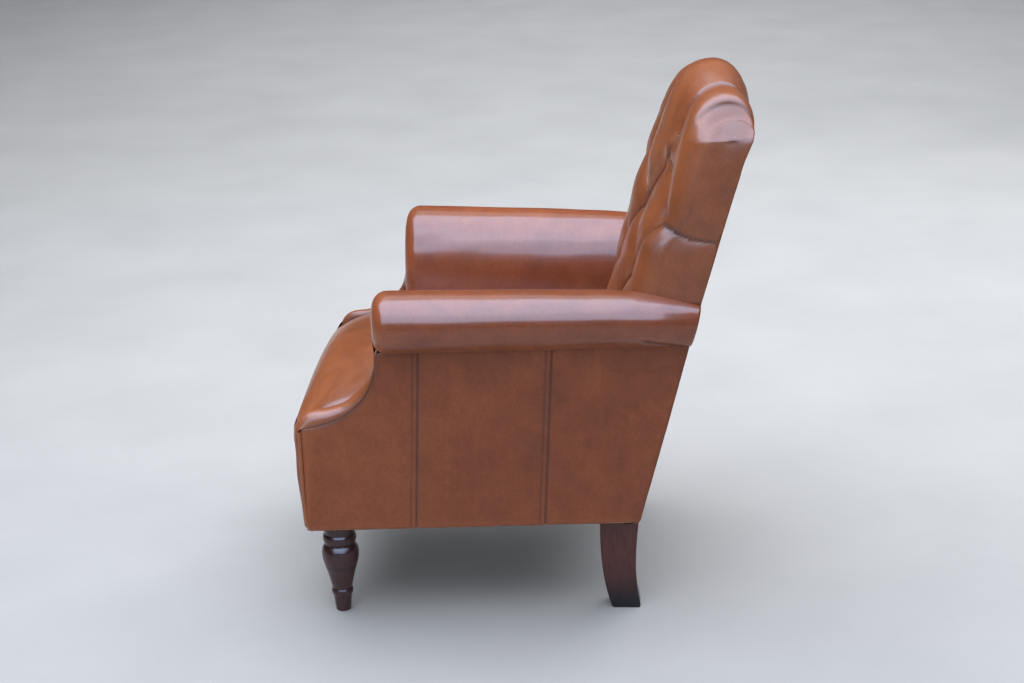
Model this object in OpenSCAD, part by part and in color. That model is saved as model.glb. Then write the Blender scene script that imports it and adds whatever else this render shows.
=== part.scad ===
// Button-back library armchair: hardwood frame, sprung seat, padded and covered in leather.
// Millimetres. +Z is up, -Y is the front, +X is the sitter's left.
// The origin is on the floor, under the middle of the whole chair.

/* [Body] */
// Half width of the body at the middle of its depth, to the outside of the side panels
body_half_w = 284; // [276:1:292]
// Angle that each side turns inwards towards the rear
side_toe = 3.5; // [3:0.1:4]
// Height of the body's underside above the floor
body_bottom = 178; // [170:1:186]
// Front edge of the side panels
front_y = -394; // [-398:1:-390]
// Rear edge of the body at its underside
rear_foot_y = 210; // [206:1:214]
// Lean of the back from upright
back_lean = 14.2; // [13.8:0.1:14.6]

/* [Arms] */
// Height of the arm scroll's underside
arm_under_z = 518; // [514:1:522]
// Radius of the scroll at its front end
scroll_r = 56; // [54:0.5:58]
// Radius of the scroll where it dies into the back
scroll_tail_r = 40; // [38:0.5:44]
// Front face of the scroll
scroll_y = -257; // [-260:1:-254]
// Thickness of the arm, from the side panel to its inner face
arm_wall_t = 80; // [76:1:84]

/* [Seat] */
// Height of the seat at its front crown
seat_h = 472; // [466:1:478]
// Height of the front corner, where the facing begins
corner_z = 379; // [376:1:384]
// How far the front bulges ahead of the side panels
front_bulge = 12; // [11:0.5:14]

/* [Back] */
// Height of the back at its middle
back_h = 978; // [970:1:986]
// Thickness of the back pad at its sides
back_side_t = 118; // [112:1:124]
// Thickness of the back pad at its crown
back_crown_t = 158; // [150:1:162]
// Distance between buttons in a row
button_pitch = 150; // [144:1:154]
// Height between one row of buttons and the next
button_rise = 104; // [100:1:108]
// Height of the top row of buttons
button_top_z = 842; // [836:1:848]

/* [Legs] */
// Sideways place of the front legs
front_leg_x = 262; // [258:1:264]
// Front-to-rear place of the front legs
front_leg_y = -342; // [-344:1:-338]
// Sideways place of the rear legs
rear_leg_x = 235; // [233:1:237]
// Width of a rear leg, seen from the front
rear_leg_w = 42; // [38:1:46]

/* [Materials] */
// Thickness of the leather with its lining
cover_t = 3; // [2:0.5:4]
// Thickness of the backing boards
board_t = 3; // [2:0.5:4]
// Thickness of the frame timber
timber_t = 28; // [25:1:30]

/* [Hidden] */
$fn = 64;

LEFT = 1;
RIGHT = -1;
leather = [0.55, 0.29, 0.17];
leather_dark = [0.45, 0.22, 0.14];
mahogany = [0.22, 0.09, 0.07];
beech = [0.78, 0.62, 0.42];
steel = [0.6, 0.6, 0.62];
foam = [0.93, 0.88, 0.72];
jute = [0.66, 0.54, 0.36];
cambric = [0.08, 0.08, 0.08];

frame_out = cover_t + board_t;
frame_in = frame_out + timber_t;
rail_h = 110;
dust_t = 2;
rail_z = body_bottom + dust_t;
rail_top = rail_z + rail_h;
upright_w = 45;
// Room left for the slant that the sides' own toe-in gives their ends.
toe_slack = 6;
top_rail_h = 40;
upright_top = 880;
post_w = 40;
front_post_w = 36;
front_post_y = front_y + 6;
post_y = scroll_y + 17;
reach = 700;

// Rear face of the chair at a height, less a depth measured forwards.
function rear_y(z, depth = 0) = rear_foot_y + (z - body_bottom) * tan(back_lean) - depth;
// Sideways place of the side plane at y, less an inset.
function side_x(y, inset = 0) = body_half_w - inset / cos(side_toe) - y * tan(side_toe);
// A point on a quadratic curve with end points a and c and control point b.
function curve(a, b, c, t) = (1 - t) * (1 - t) * a + 2 * t * (1 - t) * b + t * t * c;
function curve_points(a, b, c, steps) = [for (i = [0:steps]) curve(a, b, c, i / steps)];
// A smooth step from a to b as t goes from 0 to 1.
function ease(a, b, t) = a + (b - a) * (1 - cos(180 * t)) / 2;

// The seam that swoops from the front corner up to the underside of the scroll.
swoop_start = [front_y, corner_z];
swoop_bend = [scroll_y - 5, corner_z + 13];
swoop_end = [scroll_y + 5, arm_under_z];
swoop_steps = 8;
function swoop(shift = [0, 0]) =
    [for (p = curve_points(swoop_start, swoop_bend, swoop_end, swoop_steps)) p + shift];

// Extrudes a (y, z) outline along X.
module across(x0, x1) translate([x0, 0, 0]) rotate([90, 0, 90]) linear_extrude(x1 - x0) children();

// Places what is drawn at x = 0 on the left or right side plane; -X is into the chair.
module on_side(side) mirror([side < 0 ? 1 : 0, 0, 0])
    translate([body_half_w, 0, 0]) rotate([0, 0, side_toe]) children();

// The space between the two side planes, less an inset on each side.
module between_sides(inset) linear_extrude(2 * reach)
    polygon([[-side_x(-reach, inset), -reach], [side_x(-reach, inset), -reach],
             [side_x(reach, inset), reach], [-side_x(reach, inset), reach]]);

// A slab that leans with the back, from one height to another and between two depths.
module lean_slab(z0, z1, depth0, depth1, inset) intersection() {
    across(-reach / 2, reach / 2)
        polygon([[rear_y(z0, depth1), z0], [rear_y(z0, depth0), z0],
                 [rear_y(z1, depth0), z1], [rear_y(z1, depth1), z1]]);
    between_sides(inset);
}

// Legs

leg_top = body_bottom;
// Height and radius at each waist and swell of the turned leg, from the floor up.
turning = [[0, 13.5], [5, 14.5], [31, 16.8], [35, 19.5], [44, 19.5], [47, 18.3], [60, 20.8], [80, 26], [100, 31.5],
           [118, 34], [134, 28.5], [138, 28], [148, 30.5], [158, 28], [178, 27]];
turn_steps = 3;
bolt_r = 4;
bolt_hole_r = 4.1;
bolt_in_leg = 45;
block_h = 50;
block_z = rail_z + 10;
block_top = block_z + block_h;
front_block_y = front_post_y + timber_t;
rear_block_y = rear_y(rail_z, frame_in);
washer_r = 8.5;
washer_t = 2;
nut_r = 7.5;
nut_h = 6.5;
bolt_top = block_top + 18;
front_bolt = [front_leg_x, front_leg_y];
rear_bolt = [rear_leg_x - 9, 156];

function turned_profile() =
    [for (i = [0:len(turning) - 2]) for (k = [0:turn_steps - 1])
        [ease(turning[i][1], turning[i + 1][1], k / turn_steps),
         turning[i][0] + (turning[i + 1][0] - turning[i][0]) * k / turn_steps]];

module bolt_hole(place) translate([place[0], place[1], leg_top - bolt_in_leg]) cylinder(r = bolt_hole_r, h = 200);

module front_leg(side) color(mahogany) mirror([side < 0 ? 1 : 0, 0, 0]) difference() {
    translate([front_leg_x, front_leg_y, 0]) rotate_extrude()
        polygon(concat([[0, 0]], turned_profile(), [[turning[len(turning) - 1][1], leg_top], [0, leg_top]]));
    bolt_hole(front_bolt);
}

module rear_leg(side) color(mahogany) mirror([side < 0 ? 1 : 0, 0, 0]) difference() {
    across(rear_leg_x - rear_leg_w / 2, rear_leg_x + rear_leg_w / 2)
        polygon(concat(curve_points([138, leg_top], [141, 60], [161.5, 0], 8),
                       curve_points([213.6, 0], [202, 85], [209, leg_top], 8)));
    bolt_hole(rear_bolt);
}

module bolts(place) color(steel) for (side = [LEFT, RIGHT])
    translate([side * place[0], place[1], leg_top - bolt_in_leg + 2])
        cylinder(r = bolt_r, h = bolt_top - leg_top + bolt_in_leg - 2);

module leg_bolt_nuts() color(steel) for (side = [LEFT, RIGHT], place = [front_bolt, rear_bolt])
    translate([side * place[0], place[1], block_top]) difference() {
        union() {
            cylinder(r = washer_r, h = washer_t);
            translate([0, 0, washer_t]) cylinder(r = nut_r, h = nut_h, $fn = 6);
        }
        translate([0, 0, -1]) cylinder(r = bolt_hole_r, h = 20);
    }

// Frame

module front_rail() color(beech) intersection() {
    translate([-reach / 2, front_post_y, rail_z]) cube([reach, timber_t, rail_h]);
    between_sides(frame_in);
}

module back_rail() color(beech)
    lean_slab(rail_z, rail_top, frame_out, frame_out + timber_t, frame_in);

module side_rail(side) color(beech) on_side(side) across(-frame_in, -frame_out)
    polygon([[front_post_y + front_post_w, rail_z], [rear_y(rail_z, frame_out + upright_w), rail_z],
             [rear_y(rail_top, frame_out + upright_w), rail_top], [front_post_y + front_post_w, rail_top]]);

module front_post(side) color(beech) on_side(side)
    translate([-frame_in, front_post_y, rail_z])
        cube([timber_t, front_post_w, corner_z - 10 - rail_z]);

module swoop_board(side) color(beech) on_side(side) across(-frame_out - 18, -frame_out)
    intersection() {
        polygon(concat([[front_y, rail_top]], swoop([8, -9]), [[post_y, arm_under_z - 9], [post_y, rail_top]]));
        translate([front_post_y + front_post_w, rail_top])
            square([post_y - front_post_y - front_post_w, arm_under_z - rail_top]);
    }

module arm_post(side) color(beech) on_side(side)
    translate([-frame_in, post_y, rail_top]) cube([timber_t, post_w, arm_under_z - top_rail_h - rail_top]);

module arm_top_rail(side) color(beech) on_side(side) across(-frame_in, -frame_out)
    polygon([[post_y, arm_under_z - top_rail_h],
             [rear_y(arm_under_z - top_rail_h, frame_out + upright_w), arm_under_z - top_rail_h],
             [rear_y(arm_under_z, frame_out + upright_w), arm_under_z], [post_y, arm_under_z]]);

module back_upright(side) color(beech) on_side(side) across(-frame_in, -frame_out)
    polygon([[rear_y(rail_z, frame_out + upright_w), rail_z], [rear_y(rail_z, frame_out), rail_z],
             [rear_y(upright_top, frame_out), upright_top],
             [rear_y(upright_top, frame_out + upright_w), upright_top]]);

module back_cross_rail(z0, z1) color(beech) lean_slab(z0, z1, frame_out, frame_out + timber_t, frame_in);
module back_top_rail() back_cross_rail(upright_top - 70, upright_top);
module back_mid_rail() back_cross_rail(640, 700);
module back_seat_rail() back_cross_rail(430, 490);

module corner_blocks() color(beech) difference() {
    for (side = [LEFT, RIGHT]) mirror([side < 0 ? 1 : 0, 0, 0]) intersection() {
        translate([0, 0, block_z]) linear_extrude(block_h) {
            polygon([[300, front_block_y], [300, front_block_y + 90], [178, front_block_y]]);
            polygon([[300, rear_block_y], [300, rear_block_y - 94], [168, rear_block_y]]);
        }
        between_sides(frame_in);
    }
    for (side = [LEFT, RIGHT], place = [front_bolt, rear_bolt])
        translate([side * place[0], place[1], 0]) cylinder(r = bolt_hole_r, h = reach);
}

// Springing

spring_count = 5;
spring_gap = 84;
wire_t = 4;
spring_z = rail_top + 1;
spring_y0 = front_post_y + timber_t / 2;
spring_y1 = rear_y(rail_top, frame_out + timber_t / 2);
loops = 20;
loop_half_w = 22;
loop_pitch = (spring_y1 - spring_y0) / loops;
bend_steps = 4;

// Centre line of a zigzag spring: straight bars joined by half-round bends.
function zigzag_line() = concat([[-loop_half_w, 0]],
    [for (k = [0:loops - 1]) for (i = [0:bend_steps])
        let (turn = 180 * i / bend_steps, flip = k % 2 == 0 ? 1 : -1)
            [flip * (loop_half_w + loop_pitch / 2 * sin(turn)), (k + (1 - cos(turn)) / 2) * loop_pitch]],
    [[loop_half_w, loops * loop_pitch]]);
function along(line, i) = let (a = line[max(i - 1, 0)], b = line[min(i + 1, len(line) - 1)]) (b - a) / norm(b - a);
function band(line, half) = concat(
    [for (i = [0:len(line) - 1]) line[i] + half * [-along(line, i)[1], along(line, i)[0]]],
    [for (i = [len(line) - 1:-1:0]) line[i] - half * [-along(line, i)[1], along(line, i)[0]]]);

module seat_springs() color(steel) for (i = [0:spring_count - 1])
    translate([(i - (spring_count - 1) / 2) * spring_gap, spring_y0, spring_z])
        linear_extrude(wire_t) polygon(band(zigzag_line(), wire_t / 2));

clip_w = 12;
clip_l = 14;
module spring_clips() color(steel) for (i = [0:spring_count - 1], y = [spring_y0, spring_y1])
    translate([(i - (spring_count - 1) / 2) * spring_gap - clip_w / 2, y - clip_l / 2, rail_top]) difference() {
        cube([clip_w, clip_l, wire_t + 3]);
        translate([-1, -1, 0.9]) cube([clip_w + 2, clip_l - 2, wire_t + 0.2]);
    }

hessian_z = rail_top + wire_t + 4;
hessian_t = 1.5;
module seat_hessian() color(jute) intersection() {
    translate([-reach / 2, front_post_y, hessian_z])
        cube([reach, rear_y(hessian_z, frame_in + 2) - front_post_y, hessian_t]);
    between_sides(frame_in + 1);
}

// Seat

seat_floor = hessian_z + hessian_t;
webbing_t = 2;
web_depth = frame_out + upright_w + toe_slack / 2;
pad_depth = web_depth + webbing_t + hessian_t + 0.1;
seat_back_y = rear_y(seat_floor, pad_depth);
seat_rear_h = seat_h - 16;
crown_y = front_y + 38;
border_top = corner_z + 21;
facing_w = 30;
facing_rise = 15;
arm_front_y = scroll_y + 7;

// The seat's side outline, less an inset all round but underneath.
function seat_outline(inset) = concat(
    [[seat_back_y - inset, seat_floor], [front_y + inset, seat_floor], [front_y + inset, border_top + 1]],
    [for (a = [0:10:90]) [crown_y - (crown_y - front_y + front_bulge - inset) * cos(a),
                          border_top + 1 + (seat_h - border_top - 1 - inset) * sin(a)]],
    [[seat_back_y - inset, seat_rear_h - inset]]);

// A seat that is wide ahead of the arms and narrower between them.
module seat_form(inset) intersection() {
    across(-reach / 2, reach / 2) polygon(seat_outline(inset));
    union() {
        intersection() {
            between_sides(facing_w + 0.5 + inset);
            translate([-reach / 2, -reach, 0]) cube([reach, reach + arm_front_y - inset - toe_slack, reach]);
        }
        between_sides(arm_wall_t + 0.5 + inset);
    }
}

// What the seat is notched around: the front posts of the frame and the foot of the back pad.
module seat_notches() {
    for (side = [LEFT, RIGHT]) on_side(side)
        translate([-frame_in - 1, front_y - 1, 0]) cube([frame_in + 2, front_post_w + 8, corner_z - 8]);
    back_core(-1);
}

module seat_foam() color(foam) difference() {
    seat_form(cover_t);
    seat_notches();
}

module seat_cover() color(leather) difference() {
    seat_form(0);
    seat_form(cover_t);
    seat_notches();
}

module front_border() color(leather) intersection() {
    translate([-reach / 2, front_y - front_bulge, body_bottom]) cube([reach, front_bulge, border_top - body_bottom]);
    between_sides(cover_t + 0.3);
}

welt_r = 3;
module front_welt(side) color(leather_dark) on_side(side)
    translate([0.2, front_y - 0.2, body_bottom + 1]) cylinder(r = welt_r, h = corner_z - body_bottom - 4);

// The rounded band that follows the swoop, between the side panel and the seat.
module arm_facing(side) color(leather) on_side(side) across(-facing_w, 0) intersection() {
    polygon(concat(swoop([0, 0.2]), [for (i = [swoop_steps:-1:0]) swoop([-9, facing_rise])[i]]));
    translate([front_y + 2.2, corner_z]) square([reach, arm_under_z - 0.5 - corner_z]);
}

// Outside of the body

seam1_low = [-195, body_bottom];
seam1_high = [-179, arm_under_z];
seam2_low = [39, body_bottom];
seam2_high = [56, arm_under_z];
side_gap = 0.2;

function front_panel_outline() = concat(
    [[front_y + cover_t, body_bottom], [front_y + cover_t, corner_z - 0.5]],
    [for (i = [1:swoop_steps]) swoop([0.3, -0.3])[i]], [seam1_high, seam1_low]);
function rear_panel_outline() =
    [seam2_low, seam2_high, [rear_y(arm_under_z, cover_t + side_gap), arm_under_z],
     [rear_y(body_bottom, cover_t + side_gap), body_bottom]];

module outside_arm_front(side) color(leather) on_side(side) across(-cover_t, 0)
    polygon(front_panel_outline());
module outside_arm_middle(side) color(leather) on_side(side) across(-cover_t, 0)
    polygon([seam1_low, seam1_high, seam2_high, seam2_low]);
module outside_arm_rear(side) color(leather) on_side(side) across(-cover_t, 0)
    polygon(rear_panel_outline());

module side_board(side) color(jute) on_side(side) across(-frame_out, -cover_t)
    polygon(concat([[front_post_y, rail_z], [front_post_y, corner_z - 10]],
                   [for (i = [1:swoop_steps]) swoop([6, -8])[i]],
                   [[rear_y(arm_under_z - 8, frame_out), arm_under_z - 8], [rear_y(rail_z, frame_out), rail_z]]));

// Arms

scroll_round = 25;
scroll_end_y = 330;
scroll_drop = 14;
scroll_len = scroll_end_y - scroll_y;
arm_wall_top = 571;
roll_board_w = 68;
roll_board_t = 18;

// Everything ahead of the leaning rear face, less a depth.
module ahead_of_back(depth) across(-reach / 2, reach / 2)
    polygon([[-reach, 0], [rear_y(0, depth), 0], [rear_y(reach, depth), reach], [-reach, reach]]);

// A tapered roll with a rounded front end, cut off by the rear face.
module scroll(inset) intersection() {
    translate([0, scroll_y, arm_under_z + scroll_r + 1]) rotate([-90 - atan(scroll_drop / scroll_len), 0, 0])
        rotate_extrude() polygon(concat(
            [[0, inset]],
            [for (a = [0:15:90]) [scroll_r - scroll_round + (scroll_round - inset) * sin(a),
                                  scroll_round - (scroll_round - inset) * cos(a)]],
            [[scroll_tail_r - inset, scroll_len], [0, scroll_len]]));
    ahead_of_back(cover_t + 0.2 + inset);
}

// The padded inside of the arm, standing against the frame.
module arm_wall(inset) intersection() {
    translate([0, arm_front_y + inset, 0]) rotate([90, 0, 180]) mirror([1, 0, 0]) linear_extrude(reach)
        polygon([[-frame_in, seat_floor + 0.5], [-arm_wall_t + inset, seat_floor + 0.5],
                 [-arm_wall_t + inset, seat_h - 10], [-scroll_r + 2 + inset, arm_wall_top],
                 [-frame_in, arm_wall_top]]);
    ahead_of_back(pad_depth + 0.5);
}

// Room for the frame and back where the scroll passes them.
module arm_notches() difference() {
    across(-reach / 2, -cover_t + 0.2) translate([0, arm_under_z - 50]) square(reach / 2);
    ahead_of_back(pad_depth + 0.5);
}

module arm_padding(side) color(foam) on_side(side) difference() {
    union() {
        scroll(cover_t);
        arm_wall(cover_t);
    }
    translate([-roll_board_w / 2 - 4, post_y, arm_under_z - 30]) cube([roll_board_w, 420, 30 + roll_board_t]);
    arm_notches();
}

module arm_roll_board(side) color(beech) on_side(side) intersection() {
    translate([-roll_board_w / 2 - 4, post_y, arm_under_z]) cube([roll_board_w, 420, roll_board_t]);
    scroll(cover_t + 1);
}

module arm_cover(side) color(leather) on_side(side) difference() {
    union() {
        scroll(0);
        arm_wall(0);
    }
    scroll(cover_t);
    arm_wall(cover_t);
    arm_notches();
}

// Back

back_floor = 446;
pad_above_arm = 612;
crown_roll_r = 82;
crown_roll = [323, back_h - crown_roll_r];
shoulder_roll_r = 62;
shoulder_roll = [rear_y(880) - shoulder_roll_r, 880];
shoulder_z = 890;
shoulder_power = 0.75;
outside_top = 824;

// The back seen from the front: a crowned top with full corners, open below.
function top_outline(inset) = concat(
    [for (a = [0:10:180]) let (c = cos(a), s = sin(a))
        [sign(c) * (side_x(crown_roll[0]) - inset) * pow(abs(c), shoulder_power),
         shoulder_z + (back_h - shoulder_z - inset) * pow(s, shoulder_power)]],
    [[-reach / 2, shoulder_z - 1], [-reach / 2, 0], [reach / 2, 0], [reach / 2, shoulder_z - 1]]);

// A slab of the back pad that ends in a round roll at its top.
module back_slab(z0, depth, roll, roll_r, side_inset, inset) intersection() {
    across(-reach / 2, reach / 2) {
        polygon([[rear_y(z0 + inset, depth - inset), z0 + inset], [rear_y(z0 + inset, frame_out), z0 + inset],
                 [rear_y(roll[1], frame_out), roll[1]], [rear_y(roll[1], depth - inset), roll[1]]]);
        translate(roll) circle(r = roll_r - inset);
    }
    between_sides(side_inset + inset);
    rotate([90, 0, 0]) linear_extrude(2 * reach, center = true) polygon(top_outline(inset));
}

// The crowned middle of the pad, which also fills the space between the arms.
module back_core(inset) {
    back_slab(back_floor, back_crown_t, crown_roll, crown_roll_r, arm_wall_t + 0.5, inset);
}

module back_form(inset) {
    back_core(inset);
    back_slab(pad_above_arm, back_side_t, shoulder_roll, shoulder_roll_r, 0, inset);
}

// The zone of the frame, webbing and hessian behind the pad.
module back_frame_zone() lean_slab(400, upright_top + 0.3, frame_out - 0.1, pad_depth, cover_t);

web_start = arm_under_z + 6;
module back_webbing() color(jute) for (z = [web_start:84:web_start + 252])
    lean_slab(z, z + 50, web_depth, web_depth + webbing_t, frame_out + 2);

module back_hessian() color(jute)
    lean_slab(web_start - 2, upright_top - 4, web_depth + webbing_t + 0.1, pad_depth, frame_out + 2);

// Buttons: each row is half a pitch off the one above.
button_r = 11;
button_t = 7;
tie_r = 1.2;
pocket_len = 80;
button_rows = [0, 1, 2, 3];
outer_button_x = 1.25 * button_pitch;
function row_places(row) = row % 2 == 0 ? [-1, 0, 1] : row == 1 ? [-1.5, -0.5, 0.5, 1.5] : [-0.5, 0.5];
button_sites = [for (row = button_rows) for (k = row_places(row))
    [k * button_pitch, button_top_z - row * button_rise]];
// Distance of a button's back from the rear face, along the back's own depth.
function button_depth(x) = abs(x) > outer_button_x ? 92 : 104;

module at_button(site) translate([site[0], rear_y(site[1]), site[1]]) rotate([90 - back_lean, 0, 0]) children();

module button_pockets() for (site = button_sites) at_button(site) {
    translate([0, 0, button_depth(site[0])]) cylinder(r1 = button_r + 2, r2 = button_r + 28, h = pocket_len);
    cylinder(r = tie_r + 0.3, h = button_depth(site[0]) + 1);
}

module back_buttons() color(leather_dark) for (site = button_sites) at_button(site)
    translate([0, 0, button_depth(site[0])]) {
        cylinder(r = button_r, h = button_t / 2);
        translate([0, 0, button_t / 2]) cylinder(r1 = button_r, r2 = button_r * 0.6, h = button_t / 2);
    }

module button_ties() color(jute) for (site = button_sites) at_button(site)
    translate([0, 0, pad_depth * cos(back_lean)])
        cylinder(r = tie_r, h = button_depth(site[0]) - pad_depth * cos(back_lean));

module back_foam() color(foam) difference() {
    back_form(cover_t);
    back_frame_zone();
    button_pockets();
}

module inside_back_cover() color(leather) difference() {
    back_form(0);
    back_form(cover_t);
    back_frame_zone();
    button_pockets();
}

module outside_back_board() color(jute) lean_slab(rail_z, outside_top, cover_t, frame_out, cover_t);
module outside_back_panel() color(leather) lean_slab(body_bottom, outside_top, 0, cover_t, 0);

module dust_cover() color(cambric) difference() {
    intersection() {
        translate([-reach / 2, front_y + 2, body_bottom])
            cube([reach, rear_y(body_bottom, cover_t + 2) - front_y - 2, dust_t]);
        between_sides(cover_t + 1);
    }
    for (side = [LEFT, RIGHT], place = [front_bolt, rear_bolt])
        translate([side * place[0], place[1], 0]) cylinder(r = bolt_r + 2, h = reach);
}

front_leg(LEFT);  // front_leg_left
front_leg(RIGHT);  // front_leg_right
rear_leg(LEFT);  // rear_leg_left
rear_leg(RIGHT);  // rear_leg_right
bolts(front_bolt);  // front_leg_bolts
bolts(rear_bolt);  // rear_leg_bolts
leg_bolt_nuts();
front_rail();
back_rail();
side_rail(LEFT);  // side_rail_left
side_rail(RIGHT);  // side_rail_right
front_post(LEFT);  // front_post_left
front_post(RIGHT);  // front_post_right
swoop_board(LEFT);  // swoop_board_left
swoop_board(RIGHT);  // swoop_board_right
arm_post(LEFT);  // arm_post_left
arm_post(RIGHT);  // arm_post_right
arm_top_rail(LEFT);  // arm_top_rail_left
arm_top_rail(RIGHT);  // arm_top_rail_right
arm_roll_board(LEFT);  // arm_roll_board_left
arm_roll_board(RIGHT);  // arm_roll_board_right
back_upright(LEFT);  // back_upright_left
back_upright(RIGHT);  // back_upright_right
back_top_rail();
back_mid_rail();
back_seat_rail();
corner_blocks();
seat_springs();
spring_clips();
seat_hessian();
seat_foam();
seat_cover();
front_border();
front_welt(LEFT);  // front_welt_left
front_welt(RIGHT);  // front_welt_right
arm_facing(LEFT);  // arm_facing_left
arm_facing(RIGHT);  // arm_facing_right
outside_arm_front(LEFT);  // outside_arm_front_left
outside_arm_front(RIGHT);  // outside_arm_front_right
outside_arm_middle(LEFT);  // outside_arm_middle_left
outside_arm_middle(RIGHT);  // outside_arm_middle_right
outside_arm_rear(LEFT);  // outside_arm_rear_left
outside_arm_rear(RIGHT);  // outside_arm_rear_right
side_board(LEFT);  // side_board_left
side_board(RIGHT);  // side_board_right
arm_padding(LEFT);  // arm_padding_left
arm_padding(RIGHT);  // arm_padding_right
arm_cover(LEFT);  // arm_cover_left
arm_cover(RIGHT);  // arm_cover_right
back_webbing();
back_hessian();
back_foam();
inside_back_cover();
outside_back_board();
outside_back_panel();
back_buttons();
button_ties();
dust_cover();
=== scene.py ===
"""Looks of a button-back leather armchair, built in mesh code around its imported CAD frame.

Lengths are millimetres until add_object turns them into metres. The chair faces -Y."""

import math

import bmesh
import bpy
import numpy as np
from mathutils import Matrix, Vector


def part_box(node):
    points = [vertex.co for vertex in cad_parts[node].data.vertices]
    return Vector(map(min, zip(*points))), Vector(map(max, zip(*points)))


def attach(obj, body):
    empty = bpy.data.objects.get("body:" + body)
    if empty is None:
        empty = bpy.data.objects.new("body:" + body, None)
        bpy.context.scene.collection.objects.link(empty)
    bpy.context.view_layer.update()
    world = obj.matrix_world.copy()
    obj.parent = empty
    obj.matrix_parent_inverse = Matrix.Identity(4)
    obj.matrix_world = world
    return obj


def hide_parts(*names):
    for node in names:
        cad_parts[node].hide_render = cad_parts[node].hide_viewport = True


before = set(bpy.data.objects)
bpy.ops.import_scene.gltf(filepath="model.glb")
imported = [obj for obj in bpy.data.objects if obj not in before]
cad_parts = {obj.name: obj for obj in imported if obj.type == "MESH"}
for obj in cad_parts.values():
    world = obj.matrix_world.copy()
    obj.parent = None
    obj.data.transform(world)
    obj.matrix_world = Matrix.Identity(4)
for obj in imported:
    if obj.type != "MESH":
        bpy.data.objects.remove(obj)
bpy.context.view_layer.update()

MM = 0.001
LEFT, RIGHT = 1, -1
SIDES = ((LEFT, "left"), (RIGHT, "right"))
LEAN = math.tan(math.radians(14.2))
TOE = math.radians(3.5)
HALF_W = 284
UNDERSIDE = 178
FRONT_Y = -394
ARM_UNDER = 518
PANEL_TOP = 520


# ---- shape helpers

def rear_y(z, depth=0):
    """Rear face of the chair at a height, less a depth measured forwards."""
    return 210 + (z - UNDERSIDE) * LEAN - depth


def side_x(y):
    """Sideways place of the side plane at y."""
    return HALF_W - y * math.tan(TOE)


def ease(t):
    """0 up to t = 0 and 1 from t = 1, with a smooth rise between them."""
    t = np.clip(t, 0, 1)
    return t * t * (3 - 2 * t)


def bell(distance, width):
    """1 at no distance, falling away smoothly on both sides."""
    return np.exp(-(distance / width) ** 2)


def fade(distance, width):
    """1 at an edge, falling away with the distance from it."""
    return np.exp(-distance / width)


def unit(vectors):
    return vectors / np.maximum(np.linalg.norm(vectors, axis=-1, keepdims=True), 1e-9)


def normals(grid):
    return unit(np.cross(np.gradient(grid, axis=1), np.gradient(grid, axis=0)))


def travel(line):
    """How far each point lies along a line of points."""
    return np.concatenate([[0], np.cumsum(np.linalg.norm(np.diff(line, axis=0), axis=1))])


def spline(points, count, power=1):
    """A smooth line through points, as count samples evenly spread along it."""
    p = np.array(points, float)
    q = np.vstack([2 * p[0] - p[1], p, 2 * p[-1] - p[-2]])
    fine = []
    for i in range(len(p) - 1):
        a, b, c, d = q[i:i + 4]
        for t in np.linspace(0, 1, 24, endpoint=False):
            fine.append(0.5 * (2 * b + (c - a) * t + (2 * a - 5 * b + 4 * c - d) * t * t
                               + (3 * b - a - 3 * c + d) * t ** 3))
    fine = np.array([*fine, p[-1]])
    run = travel(fine)
    at = run[-1] * np.linspace(0, 1, count) ** power
    return np.stack([np.interp(at, run, fine[:, k]) for k in range(p.shape[1])], axis=1)


def place_side(points, side):
    """Turns (out, along, up) beside the side plane into the frame's own coordinates."""
    p = np.asarray(points, float)
    out, along = p[..., 0], p[..., 1]
    x = HALF_W + out * math.cos(TOE) - along * math.sin(TOE)
    y = out * math.sin(TOE) + along * math.cos(TOE)
    return np.stack([side * x, y, p[..., 2]], axis=-1)


def ripple(points, size, seed):
    """Soft repeatable unevenness of about -1 to 1, with bumps of about the given size."""
    rng = np.random.RandomState(seed)
    p = np.asarray(points, float) / size
    total = np.zeros(p.shape[:-1])
    for _ in range(7):
        way = rng.normal(size=3)
        way *= rng.uniform(0.6, 1.5) * 3 / np.linalg.norm(way)
        total += np.sin(p @ way + rng.uniform(0, 6.28))
    return total / 3.5


def edge_spread(count):
    """Steps from 0 to 1 that lie closer together near both ends."""
    t = np.linspace(0, 1, count)
    return 0.35 * t + 0.65 * (0.5 - 0.5 * np.cos(math.pi * t))


def edge_columns(count, power):
    """Steps from -1 to 1 that lie closer together near both ends."""
    u = np.linspace(-1, 1, count)
    return np.sign(u) * (1 - (1 - np.abs(u)) ** power)


def pad_rows(values, *ahead):
    """A mask with one more row in front of it for each plain value given."""
    return np.concatenate([*(np.full((1, values.shape[1]), float(value)) for value in ahead), values])


def add_object(name, verts, faces, material):
    mesh = bpy.data.meshes.new(name)
    mesh.from_pydata((np.asarray(verts, float) * MM).tolist(), [], faces)
    mesh.validate()
    mesh.polygons.foreach_set("use_smooth", [True] * len(mesh.polygons))
    mesh.materials.append(material)
    mesh.update()
    obj = bpy.data.objects.new(name, mesh)
    bpy.context.scene.collection.objects.link(obj)
    return obj


def set_mask(obj, label, values):
    """Stores one number a vertex, which the materials read."""
    layer = obj.data.attributes.new(label, "FLOAT", "POINT")
    layer.data.foreach_set("value", np.clip(np.asarray(values, float).ravel(), 0, 1).astype(np.float32))


def grid_faces(rows, cols, wrap=False, start=0, flip=False):
    """Quads over a grid of points; wrap closes each row into a ring."""
    faces = []
    for r in range(rows - 1):
        here, above = start + r * cols, start + (r + 1) * cols
        for c in range(cols if wrap else cols - 1):
            c2 = (c + 1) % cols
            quad = (here + c, here + c2, above + c2, above + c)
            faces.append(quad[::-1] if flip else quad)
    return faces


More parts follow.
